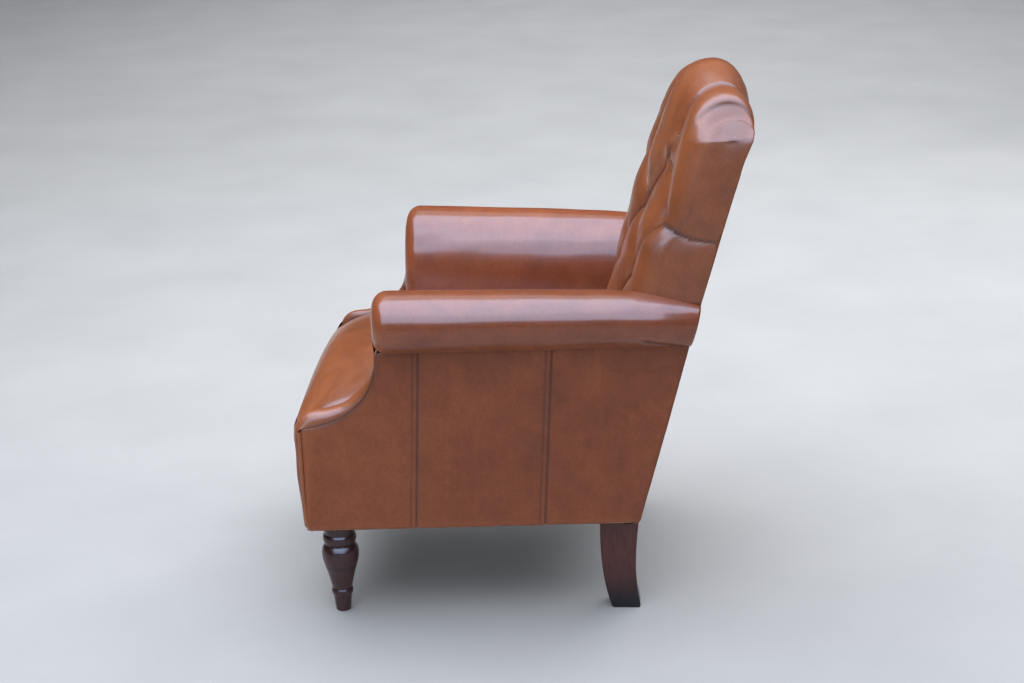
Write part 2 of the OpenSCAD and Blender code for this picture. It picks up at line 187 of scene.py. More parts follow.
def grid_object(name, points, material, flip=False, wrap=False, **masks):
    rows, cols = points.shape[:2]
    obj = add_object(name, points.reshape(-1, 3), grid_faces(rows, cols, wrap, flip=flip), material)
    for label, values in masks.items():
        set_mask(obj, label, values)
    return obj


def merge_near(obj, distance=0.02):
    bm = bmesh.new()
    bm.from_mesh(obj.data)
    bmesh.ops.remove_doubles(bm, verts=bm.verts, dist=distance * MM)
    bmesh.ops.recalc_face_normals(bm, faces=bm.faces)
    bm.to_mesh(obj.data)
    bm.free()


def join(name, parts):
    """One object out of several mesh objects that share their materials."""
    bpy.ops.object.select_all(action="DESELECT")
    for part in parts:
        part.select_set(True)
    bpy.context.view_layer.objects.active = parts[0]
    bpy.ops.object.join()
    parts[0].name = name
    parts[0].data.name = name
    return parts[0]


def finish_piece(obj, slot_name, *nodes):
    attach(obj, "root")
    if nodes:
        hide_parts(*nodes)


# ---- materials

class Surface:
    """A material being made. Each method that adds a node gives back its output socket."""

    def __init__(self, name):
        self.material = bpy.data.materials.new(name)
        self.material.use_nodes = True
        self.nodes, self.links = self.material.node_tree.nodes, self.material.node_tree.links
        self.nodes.clear()
        output = self.nodes.new("ShaderNodeOutputMaterial")
        self.shader = self.nodes.new("ShaderNodeBsdfPrincipled")
        self.links.new(self.shader.outputs[0], output.inputs[0])
        self.place = self.nodes.new("ShaderNodeTexCoord").outputs["Object"]

    def feed(self, socket, value):
        """Gives a socket a plain number, a colour or another node's output."""
        if isinstance(value, (int, float)):
            socket.default_value = value
        elif isinstance(value, tuple):
            socket.default_value = (*value, 1)
        else:
            self.links.new(value, socket)

    def shade(self, **values):
        """Fills the shader's own sockets; an underscore in a label stands for a space."""
        for label, value in values.items():
            self.feed(self.shader.inputs[label.replace("_", " ")], value)

    def noise(self, scale, detail=4, rough=0.55, warp=0, stretch=None, turn=0):
        place = self.place
        if stretch:
            mapping = self.nodes.new("ShaderNodeMapping")
            mapping.inputs["Scale"].default_value = stretch
            mapping.inputs["Rotation"].default_value = (turn, 0, 0)
            self.links.new(place, mapping.inputs["Vector"])
            place = mapping.outputs[0]
        node = self.nodes.new("ShaderNodeTexNoise")
        for label, value in (("Vector", place), ("Scale", scale), ("Detail", detail), ("Roughness", rough),
                             ("Distortion", warp)):
            self.feed(node.inputs[label], value)
        return node.outputs["Fac"]

    def ramp(self, value, *stops):
        """Colours, or grey levels given as plain numbers, at their places from 0 to 1."""
        node = self.nodes.new("ShaderNodeValToRGB")
        bar = node.color_ramp
        while len(bar.elements) < len(stops):
            bar.elements.new(0.5)
        for element, (at, colour) in zip(bar.elements, stops):
            element.position = at
            element.color = (*colour, 1) if isinstance(colour, tuple) else (colour, colour, colour, 1)
        self.links.new(value, node.inputs[0])
        return node.outputs[0]

    def math(self, kind, a, b):
        node = self.nodes.new("ShaderNodeMath")
        node.operation = kind
        self.feed(node.inputs[0], a)
        self.feed(node.inputs[1], b)
        return node.outputs[0]

    def share(self, a, b, part):
        """The sum of one value's part and of the rest of another."""
        return self.math("ADD", self.math("MULTIPLY", a, part), self.math("MULTIPLY", b, 1 - part))

    def mix(self, kind, amount, a, b):
        node = self.nodes.new("ShaderNodeMix")
        node.data_type = "RGBA"
        node.blend_type = kind
        for number, value in ((0, amount), (6, a), (7, b)):
            self.feed(node.inputs[number], value)
        return node.outputs[2]

    def bump(self, height, strength, distance, normal=None):
        node = self.nodes.new("ShaderNodeBump")
        self.feed(node.inputs["Strength"], strength)
        self.feed(node.inputs["Distance"], distance)
        self.feed(node.inputs["Height"], height)
        if normal:
            self.feed(node.inputs["Normal"], normal)
        return node.outputs[0]

    def mask(self, label):
        node = self.nodes.new("ShaderNodeAttribute")
        node.attribute_name = label
        return node.outputs["Fac"]


def scaled(colour, factor):
    return tuple(min(1, c * factor) for c in colour)


def leather_material(name, dark, mid, light, gloss=0.44, scars=0, coat=0.62, polish=0.23, shine=0.20):
    """Waxed pull-up leather: blotches, fine pores, paler where it is stretched and where a highlight is
    painted on rolled edges and crowns, with painted shade darkening its folds.
    """
    s = Surface(name)
    tone = s.share(s.noise(5.5, 3, 0.5, warp=0.6), s.noise(26, 5, 0.6, warp=0.3), 0.55)
    colour = s.ramp(tone, (0.22, dark), (0.5, mid), (0.80, light))
    speck = s.ramp(s.noise(210, 3, 0.6), (0.35, 0.80), (0.65, 1.12))
    colour = s.mix("MULTIPLY", 0.55, colour, speck)
    if scars:
        streak = s.noise(5, 5, 0.65, warp=0.4, stretch=(1, 7, 2), turn=0.5)
        streak = s.ramp(streak, (0.52, 0), (0.72, 1))
        colour = s.mix("MIX", s.math("MULTIPLY", streak, scars), colour, scaled(light, 1.5))
    # Paler on rolled edges, ridges and pillow crowns: partly the leather's pull-up wear, partly a painted
    # highlight.
    colour = s.mix("MIX", s.math("MULTIPLY", s.mask("wear"), 0.55), colour, scaled(light, 1.25))
    # Painted shade: the crease mask darkens folds, seams, tucks and recesses as if they lay in shadow.
    fold = s.mask("crease")
    colour = s.mix("MIX", s.math("MULTIPLY", fold, 0.88), colour, scaled(dark, 0.22))
    roughness = s.ramp(s.noise(38, 4, 0.6), (0.3, gloss - 0.05), (0.7, gloss + 0.10))
    roughness = s.math("ADD", roughness, s.math("MULTIPLY", fold, 0.4))
    pores = s.nodes.new("ShaderNodeTexVoronoi")
    pores.feature = "DISTANCE_TO_EDGE"
    pores.inputs["Scale"].default_value = 620
    s.links.new(s.place, pores.inputs["Vector"])
    grain = s.ramp(pores.outputs["Distance"], (0, 0), (0.16, 1))
    normal = s.bump(s.noise(17, 3, 0.5, warp=0.5), 0.22, 0.004)
    normal = s.bump(s.noise(95, 6, 0.62, warp=0.8), 0.20, 0.0009, normal)
    normal = s.bump(grain, 0.16, 0.00022, normal)
    s.shade(Base_Color=colour, Roughness=roughness, Normal=normal, Coat_Weight=coat, Coat_Roughness=polish,
            Coat_IOR=1.45, Specular_IOR_Level=shine, Sheen_Weight=0.04)
    return s.material


def wood_material(name, dark, light, rough, coat, scale, foot_shade=None):
    """Straight-grained timber with pores; foot_shade darkens it from one height down to another."""
    s = Surface(name)
    grain = s.noise(scale, 8, 0.62, warp=0.5, stretch=(9, 9, 1))
    tone = s.share(grain, s.noise(scale * 0.35, 3, 0.5), 0.65)
    colour = s.ramp(tone, (0.33, dark), (0.68, light))
    if foot_shade:
        low, high, shade = foot_shade
        split = s.nodes.new("ShaderNodeSeparateXYZ")
        s.links.new(s.place, split.inputs[0])
        rise = s.nodes.new("ShaderNodeMapRange")
        rise.interpolation_type = "SMOOTHSTEP"
        rise.inputs["From Min"].default_value = low
        rise.inputs["From Max"].default_value = high
        s.links.new(split.outputs[2], rise.inputs["Value"])
        colour = s.mix("MIX", rise.outputs[0], shade, colour)
    # Painted shade: the crease mask darkens the grooves of the turned legs as if shadowed.
    colour = s.mix("MIX", s.mask("crease"), colour, scaled(dark, 0.25))
    s.shade(Base_Color=colour, Roughness=s.ramp(grain, (0.3, rough - 0.06), (0.7, rough + 0.08)),
            Normal=s.bump(grain, 0.15, 0.0004), Coat_Weight=coat, Coat_Roughness=0.16,
            Specular_IOR_Level=0.25)
    return s.material


def weave_material(name, dark, light, threads, rough=0.9, sheen=0.1):
    """Plain-weave cloth: two crossing bands of threads with uneven colour."""
    s = Surface(name)
    heights = []
    for axis in ("X", "Z"):
        wave = s.nodes.new("ShaderNodeTexWave")
        wave.bands_direction = axis
        wave.inputs["Scale"].default_value = threads
        wave.inputs["Distortion"].default_value = 0.6
        s.links.new(s.place, wave.inputs["Vector"])
        heights.append(wave.outputs["Fac"])
    height = s.math("MULTIPLY", *heights)
    uneven = s.noise(60)
    s.shade(Base_Color=s.ramp(s.share(height, uneven, 0.5), (0.25, dark), (0.65, light)),
            Roughness=s.ramp(uneven, (0.3, rough - 0.08), (0.7, min(1, rough + 0.06))),
            Normal=s.bump(height, 0.4, 0.0004), Sheen_Weight=sheen)
    return s.material


def metal_material(name, dark, light, rough):
    s = Surface(name)
    tone = s.noise(90, 5, 0.6, stretch=(1, 1, 0.3))
    s.shade(Base_Color=s.ramp(tone, (0.3, dark), (0.7, light)),
            Roughness=s.ramp(tone, (0.3, rough), (0.7, rough + 0.15)), Metallic=1)
    return s.material


HIDE_DARK, HIDE_MID, HIDE_LIGHT = (0.140, 0.036, 0.009), (0.228, 0.062, 0.015), (0.320, 0.096, 0.026)
leather = leather_material("cognac_leather", HIDE_DARK, HIDE_MID, HIDE_LIGHT)
leather_side = leather_material("cognac_leather_side_panels", (0.150, 0.038, 0.013), (0.220, 0.060, 0.020),
                                (0.280, 0.082, 0.028), gloss=0.46, scars=0.16, coat=0.05, polish=0.25)
leather_arm = leather_material("cognac_leather_arms", (0.135, 0.032, 0.010), (0.225, 0.056, 0.016),
                               (0.310, 0.088, 0.026), gloss=0.46, coat=0.85, polish=0.18, shine=0.12)
mahogany_front = wood_material("dark_mahogany_turned", (0.018, 0.005, 0.004), (0.072, 0.019, 0.014),
                               0.34, 0.30, 30)
mahogany_rear = wood_material("dark_mahogany_sabre", (0.042, 0.010, 0.006), (0.110, 0.027, 0.016),
                              0.40, 0.12, 30, foot_shade=(0.005, 0.085, (0.006, 0.003, 0.003)))
beech = wood_material("beech_frame", (0.42, 0.27, 0.15), (0.62, 0.44, 0.27), 0.6, 0, 26)
zinc = metal_material("zinc_plate", (0.42, 0.42, 0.43), (0.62, 0.62, 0.64), 0.30)
spring_steel = metal_material("spring_steel", (0.18, 0.18, 0.19), (0.34, 0.34, 0.35), 0.35)
hessian = weave_material("jute_hessian", (0.20, 0.13, 0.06), (0.45, 0.33, 0.18), 320)
webbing = weave_material("jute_webbing", (0.24, 0.16, 0.08), (0.50, 0.38, 0.22), 240)
twine = weave_material("button_twine", (0.30, 0.22, 0.12), (0.55, 0.43, 0.27), 700)
board = weave_material("backing_board", (0.20, 0.15, 0.10), (0.34, 0.27, 0.19), 60, 0.85, 0)
cambric = weave_material("black_cambric", (0.006, 0.006, 0.007), (0.022, 0.022, 0.024), 420)
thread = weave_material("waxed_thread", (0.030, 0.010, 0.006), (0.075, 0.026, 0.013), 900, 0.5, 0.1)

# The first word found in a node's name decides its finish; every other part of the frame is beech.
CAD_FINISH = [("bolt", zinc), ("clips", zinc), ("springs", spring_steel), ("ties", twine),
              ("webbing", webbing), ("hessian", hessian), ("side_board", board),
              ("outside_back_board", board), ("", beech)]


# ---- camera, light, floor

def make_camera():
    data = bpy.data.cameras.new("camera")
    data.lens = 59.77
    data.sensor_width = 36
    camera = bpy.data.objects.new("camera", data)
    bpy.context.scene.collection.objects.link(camera)
    forward = Vector((-0.94469, -0.05168, -0.32387)).normalized()
    level = forward.cross(Vector((0, 0, 1))).normalized()
    above = level.cross(forward)
    roll = math.radians(1.30)
    right = level * math.cos(roll) - above * math.sin(roll)
    up = right.cross(forward)
    turn = Matrix((right, up, -forward)).transposed().to_4x4()
    camera.matrix_world = Matrix.Translation((3.0948, 0.1398, 1.4977)) @ turn
    bpy.context.scene.camera = camera


# Each lamp has a name, place, aim, size, power, colour and kind. Places and sizes are metres.
LAMPS = [("overhead_softbox", (0.6, -0.2, 3.2), (0.25, -0.05, 0.4), (3.2, 4.6), 94, (0.97, 0.98, 1), "lamp"),
         ("side_fill", (3.9, -1.6, 2), (0, 0, 0.4), (2.6, 2.2), 26, (1, 0.98, 0.96), "fill"),
         ("rear_fill", (-2.6, 2.4, 2), (0, 0.1, 0.5), (2.4, 2), 26, (1, 0.98, 0.96), "fill"),
         ("floor_wash", (-5, 0.3, 3.4), (-5.6, 0.3, 0), (6, 11), 360, (1, 1, 1), "fill"),
         ("sky_card", (1.5, 0.2, 3.6), (1.5, 0.2, 0), (3.8, 6.5), 760, (0.46, 0.66, 1), "card"),
         ("low_sky_card", (5.7, 0.2, 3.7), (0.33, 0.2, 0.6), (9, 3.1), 820, (0.46, 0.68, 1), "card")]


def area_light(name, place, aim, size, power, colour, kind):
    """A fill brightens surfaces without a hazy reflection; a card shows in reflections alone."""
    data = bpy.data.lights.new(name, "AREA")
    data.shape = "RECTANGLE"
    data.size, data.size_y = size
    data.energy = power
    data.color = colour
    lamp = bpy.data.objects.new(name, data)
    bpy.context.scene.collection.objects.link(lamp)
    lamp.location = place
    lamp.rotation_euler = (Vector(aim) - Vector(place)).to_track_quat("-Z", "Y").to_euler()
    lamp.visible_glossy = kind != "fill"
    lamp.visible_diffuse = lamp.visible_transmission = kind != "card"


def make_studio():
    bpy.context.scene.view_settings.view_transform = "Standard"
    for lamp in LAMPS:
        area_light(*lamp)
    world = bpy.data.worlds.new("studio")
    bpy.context.scene.world = world
    world.use_nodes = True
    back = world.node_tree.nodes["Background"]
    back.inputs[0].default_value = (0.90, 0.91, 0.93, 1)
    back.inputs[1].default_value = 0.42
    world.cycles_visibility.glossy = False
    s = Surface("pale_floor")
    s.shade(Base_Color=s.ramp(s.noise(2.5), (0.3, (0.40, 0.41, 0.425)), (0.7, (0.44, 0.45, 0.465))),
            Roughness=0.55)
    reach = 9000
    corners = [(-reach, -reach, 0), (reach, -reach, 0), (reach, reach, 0), (-reach, reach, 0)]
    add_object("floor", corners, [(0, 1, 2, 3)], s.material)


# ---- stitches

THREAD_LENGTH, THREAD_GAP, THREAD_R, THREAD_LIFT = 3.4, 1.5, 0.55, 0.15
THREAD_PROFILE = ((-0.5, 0.15), (-0.38, 0.8), (0, 1), (0.38, 0.8), (0.5, 0.15))


def stitch_row(path, normal):
    """Short threads laid along a line of points, raised a little along the normal."""
    run = travel(path)
    out = unit(normal)
    verts, faces = [], []
    ring = 6
    for i in range(int(run[-1] // (THREAD_LENGTH + THREAD_GAP))):
        middle = (i + 0.5) * (THREAD_LENGTH + THREAD_GAP)
        at, ahead = (np.array([np.interp(place, run, path[:, k]) for k in range(3)])
                     for place in (middle, middle + 1))
        along = unit(ahead - at)
        across = np.cross(along, out)
        start = len(verts)
        for step, width in THREAD_PROFILE:
            dip = -1.1 * THREAD_R * (abs(step) * 2) ** 3
            thick = THREAD_R * width
            for k in range(ring):
                turn = 2 * math.pi * k / ring
                verts.append(at + along * step * THREAD_LENGTH + across * thick * 1.15 * math.cos(turn)
                             + out * (THREAD_LIFT + dip + thick * math.sin(turn)))
        faces += grid_faces(len(THREAD_PROFILE), ring, True, start)
        faces.append(tuple(range(start, start + ring))[::-1])
        faces.append(tuple(range(len(verts) - ring, len(verts))))
    return verts, faces


def stitches(name, paths, normal):
    verts, faces = [], []
    for path in paths:
        v, f = stitch_row(path, normal)
        faces += [tuple(i + len(verts) for i in face) for face in f]
        verts += v
    finish_piece(add_object(name, verts, faces, thread), "leather_trim")


# ---- outside arm panels

SEAM_FRONT = ((-195, UNDERSIDE), (-179, PANEL_TOP))
SEAM_REAR = ((39, UNDERSIDE), (56, PANEL_TOP))
SWOOP = ((FRONT_Y, 379), (-262, 392), (-252, ARM_UNDER))
STITCH_GAP = 10
CORNER_R = 17


def swoop_point(t):
    """(along, up) on the curve that runs from the front corner up to the scroll."""
    t = np.asarray(t, float)[..., None]
    a, b, c = (np.array(p) for p in SWOOP)
    return (1 - t) ** 2 * a + 2 * t * (1 - t) * b + t * t * c


def panel(name, side, low, high, seed, stitched=True, front=False, end_mark=0.45):
    """A side panel between two boundary lines, given as (along, up) points for its bottom and top."""
    rows = 84
    rise = edge_spread(rows)[:, None]
    pts = low * (1 - rise[..., None]) + high * rise[..., None]
    width = np.linalg.norm(np.diff(pts, axis=1), axis=2)
    from_start = np.concatenate([np.zeros((rows, 1)), np.cumsum(width, axis=1)], axis=1)
    from_end = from_start[:, -1:] - from_start
    height = np.linalg.norm(high - low, axis=1)
    from_low, from_high = rise * height, (1 - rise) * height
    out = 1.3 * (1 - fade(from_start, 2)) * (1 - fade(from_end, 2)) - 0.9
    swell = 1.1
    for distance in (from_start, from_end, from_low, from_high):
        swell = swell * (1 - fade(distance, 60))
    out += swell - 5 * (1 - ease(from_low / 9)) ** 2
    # Paler along the rolled foot and the leading edge: partly pull-up wear, partly a painted highlight.
    wear = 0.5 * bell(from_low - 5, 6)
    if front:
        out -= 0.8 * (1 - ease(from_start / 10)) ** 2 + 2.2 * fade(from_high, 3.5)
        wear = np.maximum(wear, 0.8 * bell(from_start - 7, 7))
    # Painted shade at the panel's edges, its seams and beside the stitching.
    crease = np.maximum(0.45 * fade(from_start, 1.1), end_mark * fade(from_end, 1.1))
    if stitched:
        out -= 0.8 * bell(from_end - STITCH_GAP, 1.5)
        crease = np.maximum(crease, 0.35 * bell(from_end - STITCH_GAP, 1.1))
    local = np.stack([out, pts[..., 0], pts[..., 1]], axis=-1)
    local[..., 0] += 0.45 * ripple(local, 60, seed) + 0.18 * ripple(local, 17, seed + 1)
    hem = local[:1] * [1, 1, 0] + [-3, 0, UNDERSIDE - 0.2]
    local = np.concatenate([hem + [-22, 0, 0.4], hem, local])
    obj = grid_object(name + "_panel", place_side(local, side), leather_side, flip=(side == RIGHT),
                      crease=pad_rows(crease, 0.5, 0.3), wear=pad_rows(wear, 0, 0))
    finish_piece(obj, "leather", name)


def side_panels(side, word):
    arc = [(FRONT_Y + CORNER_R * (1 - math.cos(a)), UNDERSIDE + CORNER_R * (1 - math.sin(a)))
           for a in np.linspace(0, math.pi / 2, 9)]
    low = spline(arc + [(FRONT_Y + 60, UNDERSIDE), SEAM_FRONT[0]], 86)
    high = spline([*swoop_point(np.linspace(0, 1, 14)), SEAM_FRONT[1]], 86)
    panel("outside_arm_front_" + word, side, low, high, 11, front=True)
    low, high = (spline([SEAM_FRONT[end], SEAM_REAR[end]], 70) for end in (0, 1))
    panel("outside_arm_middle_" + word, side, low, high, 23)
    low, high = (spline([SEAM_REAR[end], (rear_y(z), z)], 60) for end, z in ((0, UNDERSIDE), (1, PANEL_TOP)))
    panel("outside_arm_rear_" + word, side, low, high, 37, stitched=False, end_mark=0.1)
    lines = []
    z = np.linspace(UNDERSIDE + 4, PANEL_TOP - 1, 60)
    for (along_low, z_low), (along_high, z_high) in (SEAM_FRONT, SEAM_REAR):
        for shift in (-0.9, -STITCH_GAP):
            along = along_low + (along_high - along_low) * (z - z_low) / (z_high - z_low) + shift
            lines.append(np.stack([np.full_like(z, 0.35), along, z], axis=-1))
    swoop = swoop_point(np.linspace(0.02, 0.97, 80))
    ahead = unit(np.gradient(swoop, axis=0))
    below = swoop + 4.5 * np.stack([ahead[:, 1], -ahead[:, 0]], axis=-1)
    lines.append(np.insert(below, 0, 0.5, axis=1))
    stitches("side_stitching_" + word, [place_side(line, side) for line in lines], np.array([side, 0.06, 0]))


# ---- arm facing bands

FACING_SEAM = [(-399, 356), (-397, 368), *swoop_point([0, 0.12, 0.28, 0.45, 0.62, 0.8, 0.98]), (-247, 536)]
FACING_RIDGE = [(-408, 352), (-407, 372), (-399, 391), (-387, 403), (-372, 408.5), (-352, 411), (-338, 414.5),
                (-322, 419), (-305, 428), (-288, 443), (-275, 460), (-267, 476), (-261, 494), (-257, 512),
                (-252, 540)]


def facing_band(side, word):
    """The rounded edge between the side panel and the seat, from the front corner up to the scroll."""
    n = 96
    seam, ridge = spline(FACING_SEAM, n), spline(FACING_RIDGE, n)
    across = np.linspace(0, 1, 26)
    crown = 0.62
    rows = []
    for i in range(n):
        wide = 27 + 30 * ease((ridge[i][1] - 455) / 60)
        s = np.array([0.6, *seam[i]])
        r = np.array([-19 - 0.45 * (wide - 27), *ridge[i]])
        ahead = unit(ridge[min(i + 1, n - 1)] - ridge[max(i - 1, 0)])
        line = []
        for u in across:
            if u < crown:
                a = (u / crown) * math.pi / 2
                out_share, up_share = 1 - math.cos(a) ** 0.92, math.sin(a) ** 0.92
                line.append(s + (r - s) * [out_share, up_share, up_share])
            else:
                a = (u - crown) / (1 - crown) * math.pi / 2
                drop = 15 * (1 - math.cos(a))
                line.append(r + [-(wide - 18) * math.sin(a), ahead[1] * drop, -ahead[0] * drop])
        rows.append(line)
    pts = np.array(rows)
    pts += 0.5 * ripple(pts, 32, 51)[..., None] * np.array([0.4, -0.5, 0.6])
    # Painted shade along the band's seam and in its tuck against the seat; its ridge is paler, partly wear and
    # partly a painted highlight.
    crease = 0.9 * fade(across, 0.035) + 0.95 * fade(1 - across, 0.10)
    wear = 0.75 * bell(across - 0.42, 0.18)
    obj = grid_object("arm_facing_%s_band" % word, place_side(pts, side), leather, flip=(side == LEFT),
                      crease=np.tile(crease, (n, 1)), wear=np.tile(wear, (n, 1)))
    finish_piece(obj, "leather", "arm_facing_" + word)


# ---- legs

LEG_PROFILE = [(12, 0), (13.4, 1.2), (14, 4), (14.6, 9), (15.3, 16), (16.2, 24), (17, 30),
               (17.4, 33), (18.9, 34.6), (19.8, 37), (20.1, 40), (19.7, 43), (18.7, 45.4), (17.9, 46.6),
               (18.4, 48.5), (19.5, 53), (21.3, 60), (23.6, 70), (26.1, 80), (28, 87), (29.2, 90.6),
               (28.7, 91.4), (29.7, 92.4), (30.3, 94), (29.7, 95.4), (30.7, 96.4), (32.3, 102), (33.6, 109),
               (34.2, 116), (34, 121.5), (32.9, 127), (30.8, 131.5), (28.4, 134.6), (27.2, 136.4),
               (27.4, 138.4), (29.2, 141), (30.6, 145), (30.9, 149), (30.2, 153.4), (28.6, 156.8),
               (27.6, 158.2), (27.8, 160), (28.2, 166), (28.2, 172), (28, 179.5)]
LEG_GROOVES = (33.2, 46.6, 91.2, 95.6, 136.6, 158.3)
REAR_LEG_FORE = [(138, 180), (138.3, 150), (139.2, 120), (141.5, 90), (145.5, 60), (151.5, 30), (158, 8),
                 (161, 0)]
REAR_LEG_AFT = [(209.5, 180), (207, 150), (205, 120), (204.2, 90), (205, 60), (208, 30), (212, 8),
                (213.4, 0)]
REAR_LEG_X, REAR_LEG_HALF, REAR_LEG_R = 235, 21, 3.2


def capped_leg(name, pts, material, crease, node):
    """A leg out of its rings of points, closed at both ends."""
    obj = grid_object(name, pts, material, wrap=True, crease=crease)
    ring = tuple(range(pts.shape[1]))
    caps = [add_object("cap", pts[0], [ring[::-1]], material), add_object("cap", pts[-1], [ring], material)]
    obj = join(name, [obj, *caps])
    merge_near(obj)
    finish_piece(obj, "mahogany", node)


def front_leg(word):
    profile = spline(LEG_PROFILE, 190)
    radius, z = profile[:, :1], profile[:, 1:]
    turn = np.linspace(0, 2 * math.pi, 72, endpoint=False)
    low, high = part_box("front_leg_" + word)
    cx, cy = (low.x + high.x) / 2 / MM, (low.y + high.y) / 2 / MM
    pts = np.stack([cx + radius * np.cos(turn), cy + radius * np.sin(turn), z + 0 * turn], axis=-1)
    # Painted shade in the grooves of the turning.
    crease = np.max([0.9 * bell(z - groove, 0.9) + 0 * turn for groove in LEG_GROOVES], axis=0)
    capped_leg("front_leg_%s_turned" % word, pts, mahogany_front, crease, "front_leg_" + word)


def rear_leg(side, word):
    rings = []
    r = REAR_LEG_R
    half = REAR_LEG_HALF - r
    for (y0, z0), (y1, z1) in zip(spline(REAR_LEG_FORE, 60), spline(REAR_LEG_AFT, 60)):
        z = max((z0 + z1) / 2, 0)
        corners = ((half, y1 - r, 0), (-half, y1 - r, 90), (-half, y0 + r, 180), (half, y0 + r, 270))
        rings.append([(cx + r * math.cos(math.radians(a)), cy + r * math.sin(math.radians(a)), z)
                      for cx, cy, start in corners for a in np.linspace(start, start + 90, 6)])
    pts = np.array(rings)
    foot_mid = pts[-1].mean(axis=0)
    pts[-1] = foot_mid + (pts[-1] - foot_mid) * np.array([0.94, 0.96, 1])
    pts[..., 0] += side * REAR_LEG_X
    capped_leg("rear_leg_%s_sabre" % word, pts, mahogany_rear, np.zeros(pts.shape[:2]), "rear_leg_" + word)


# ---- front border and its welts

BORDER_TOP = 384


def front_border():
    """The front panel bulges ahead of the frame and turns in at the corners, the top and the foot."""
    u = edge_columns(170, 1.25)[None, :]
    half = side_x(FRONT_Y) - 3
    edge = half * (1 - np.abs(u))
    foot = UNDERSIDE + 15 * (1 - np.clip(edge / CORNER_R, 0, 1)) ** 2
    z = foot + (BORDER_TOP - foot) * edge_spread(96)[:, None]
    low = (z - UNDERSIDE) / (BORDER_TOP - UNDERSIDE)
    bulge = 16.5 * (0.12 + 0.88 * (1 - fade(edge, 9))) * (0.42 + 0.58 * ease(low / 0.55))
    bulge = bulge * (1 - (1 - ease((z - UNDERSIDE) / 16)) ** 2 * 0.9)
    bulge -= 5 * fade(BORDER_TOP - z, 4)
    pts = np.stack([u * half + 0 * z, FRONT_Y - bulge, z], axis=-1)
    flat = pts * [1, 0, 1]
    pts[..., 1] += 0.7 * ripple(flat, 70, 61) + 0.25 * ripple(flat, 22, 62)
    hem = pts[:1] + [0, 3, -0.2]
    pts = np.concatenate([hem + [0, 24, 0], hem, pts])
    # Painted shade at the border's sides, under its top where the seat overhangs it, and at its hem; its foot
    # is paler, partly wear and partly a painted highlight.
    crease = 0.35 * fade(np.abs(np.abs(pts[..., 0]) - half), 1.6)
    crease[-3:] = 0.8
    crease[:2] = 0.4
    wear = 0.35 * bell(pts[..., 2] - UNDERSIDE - 6, 8)
    obj = grid_object("front_border_leather", pts, leather_side, crease=crease, wear=wear)
    finish_piece(obj, "leather", "front_border")


def welt(side, word):
    """Leather piping down the front corner, which turns under the chair at its foot."""
    path = spline([(-0.6, -396.8, 374), (-0.6, -396.8, 358), (-0.6, -396.6, 330), (-0.6, -396, 260),
                   (-0.9, -394.4, 208), (-2.2, -390.8, 188), (-6, -384, 179.5)], 110)
    pts = []
    for i, p in enumerate(path):
        ahead = unit(path[min(i + 1, len(path) - 1)] - path[max(i - 1, 0)])
        first = unit(np.cross(ahead, [1, 0, 0]))
        second = np.cross(ahead, first)
        r = 3.3 + 0.12 * math.sin(i * 1.7)
        pts.append([p + r * (math.cos(a) * first + math.sin(a) * second)
                    for a in np.linspace(0, 2 * math.pi, 16, endpoint=False)])
    pts = np.array(pts)
    # The welt is paler all over: partly wear, partly a painted highlight on its round.
    plain = np.zeros(pts.shape[:2])
    obj = grid_object("front_welt_%s_piping" % word, place_side(pts, side), leather, wrap=True,
                      crease=plain, wear=plain + 0.6)
    merge_near(obj)
    finish_piece(obj, "leather_trim", "front_welt_" + word)


# ---- cloth passes

CLOTH_SETTINGS = {"vertex_group_mass": "held", "pin_stiffness": 1.2, "quality": 5, "mass": 0.5,
                  "tension_stiffness": 25, "compression_stiffness": 18, "shear_stiffness": 12,
                  "bending_stiffness": 2.2, "air_damping": 2, "use_pressure": True}


def cloth_shift(name, points, loose, pressure, cap, shrink):
    """Runs Blender's cloth on a coarse grid of the cover and gives back how far each point moved.
    loose is 0 where the leather is held and 1 where it is free; no point moves further than cap."""
    rows, cols = points.shape[:2]
    obj = add_object(name, points.reshape(-1, 3), grid_faces(rows, cols), leather)
    hold = obj.vertex_groups.new(name="held")
    for i, value in enumerate(np.clip(loose.ravel(), 0, 1)):
        hold.add([i], 1 - float(value), "REPLACE")
    cloth = obj.modifiers.new("cloth", "CLOTH")
    for label, value in CLOTH_SETTINGS.items():
        setattr(cloth.settings, label, value)
    cloth.settings.uniform_pressure_force = pressure
    cloth.settings.shrink_min = shrink
    cloth.settings.effector_weights.gravity = 0
    cloth.collision_settings.use_collision = False
    scene = bpy.context.scene
    for step in range(1, 21):
        scene.frame_set(step)
    shaped = obj.evaluated_get(bpy.context.evaluated_depsgraph_get()).data
    co = np.zeros(len(shaped.vertices) * 3)
    shaped.vertices.foreach_get("co", co)
    shift = co.reshape(rows, cols, 3) / MM - points
    scene.frame_set(1)
    bpy.data.objects.remove(obj)
    size = np.linalg.norm(shift, axis=-1, keepdims=True)
    return shift * np.minimum(1, cap / np.maximum(size, 1e-6))


def every(count, step):
    """Every step-th index of a row of points, and the last one."""
    return np.unique(np.append(np.arange(0, count, step), count - 1))


def resample(values, rows, cols):
    """Bilinear resize of a grid of vectors."""
    r = np.linspace(0, values.shape[0] - 1, rows)
    c = np.linspace(0, values.shape[1] - 1, cols)
    r0 = np.minimum(r.astype(int), values.shape[0] - 2)
    c0 = np.minimum(c.astype(int), values.shape[1] - 2)
    fr, fc = (r - r0)[:, None, None], (c - c0)[None, :, None]
    a = values[r0][:, c0] * (1 - fr) + values[r0 + 1][:, c0] * fr
    b = values[r0][:, c0 + 1] * (1 - fr) + values[r0 + 1][:, c0 + 1] * fr
    return a * (1 - fc) + b * fc


# ---- seat

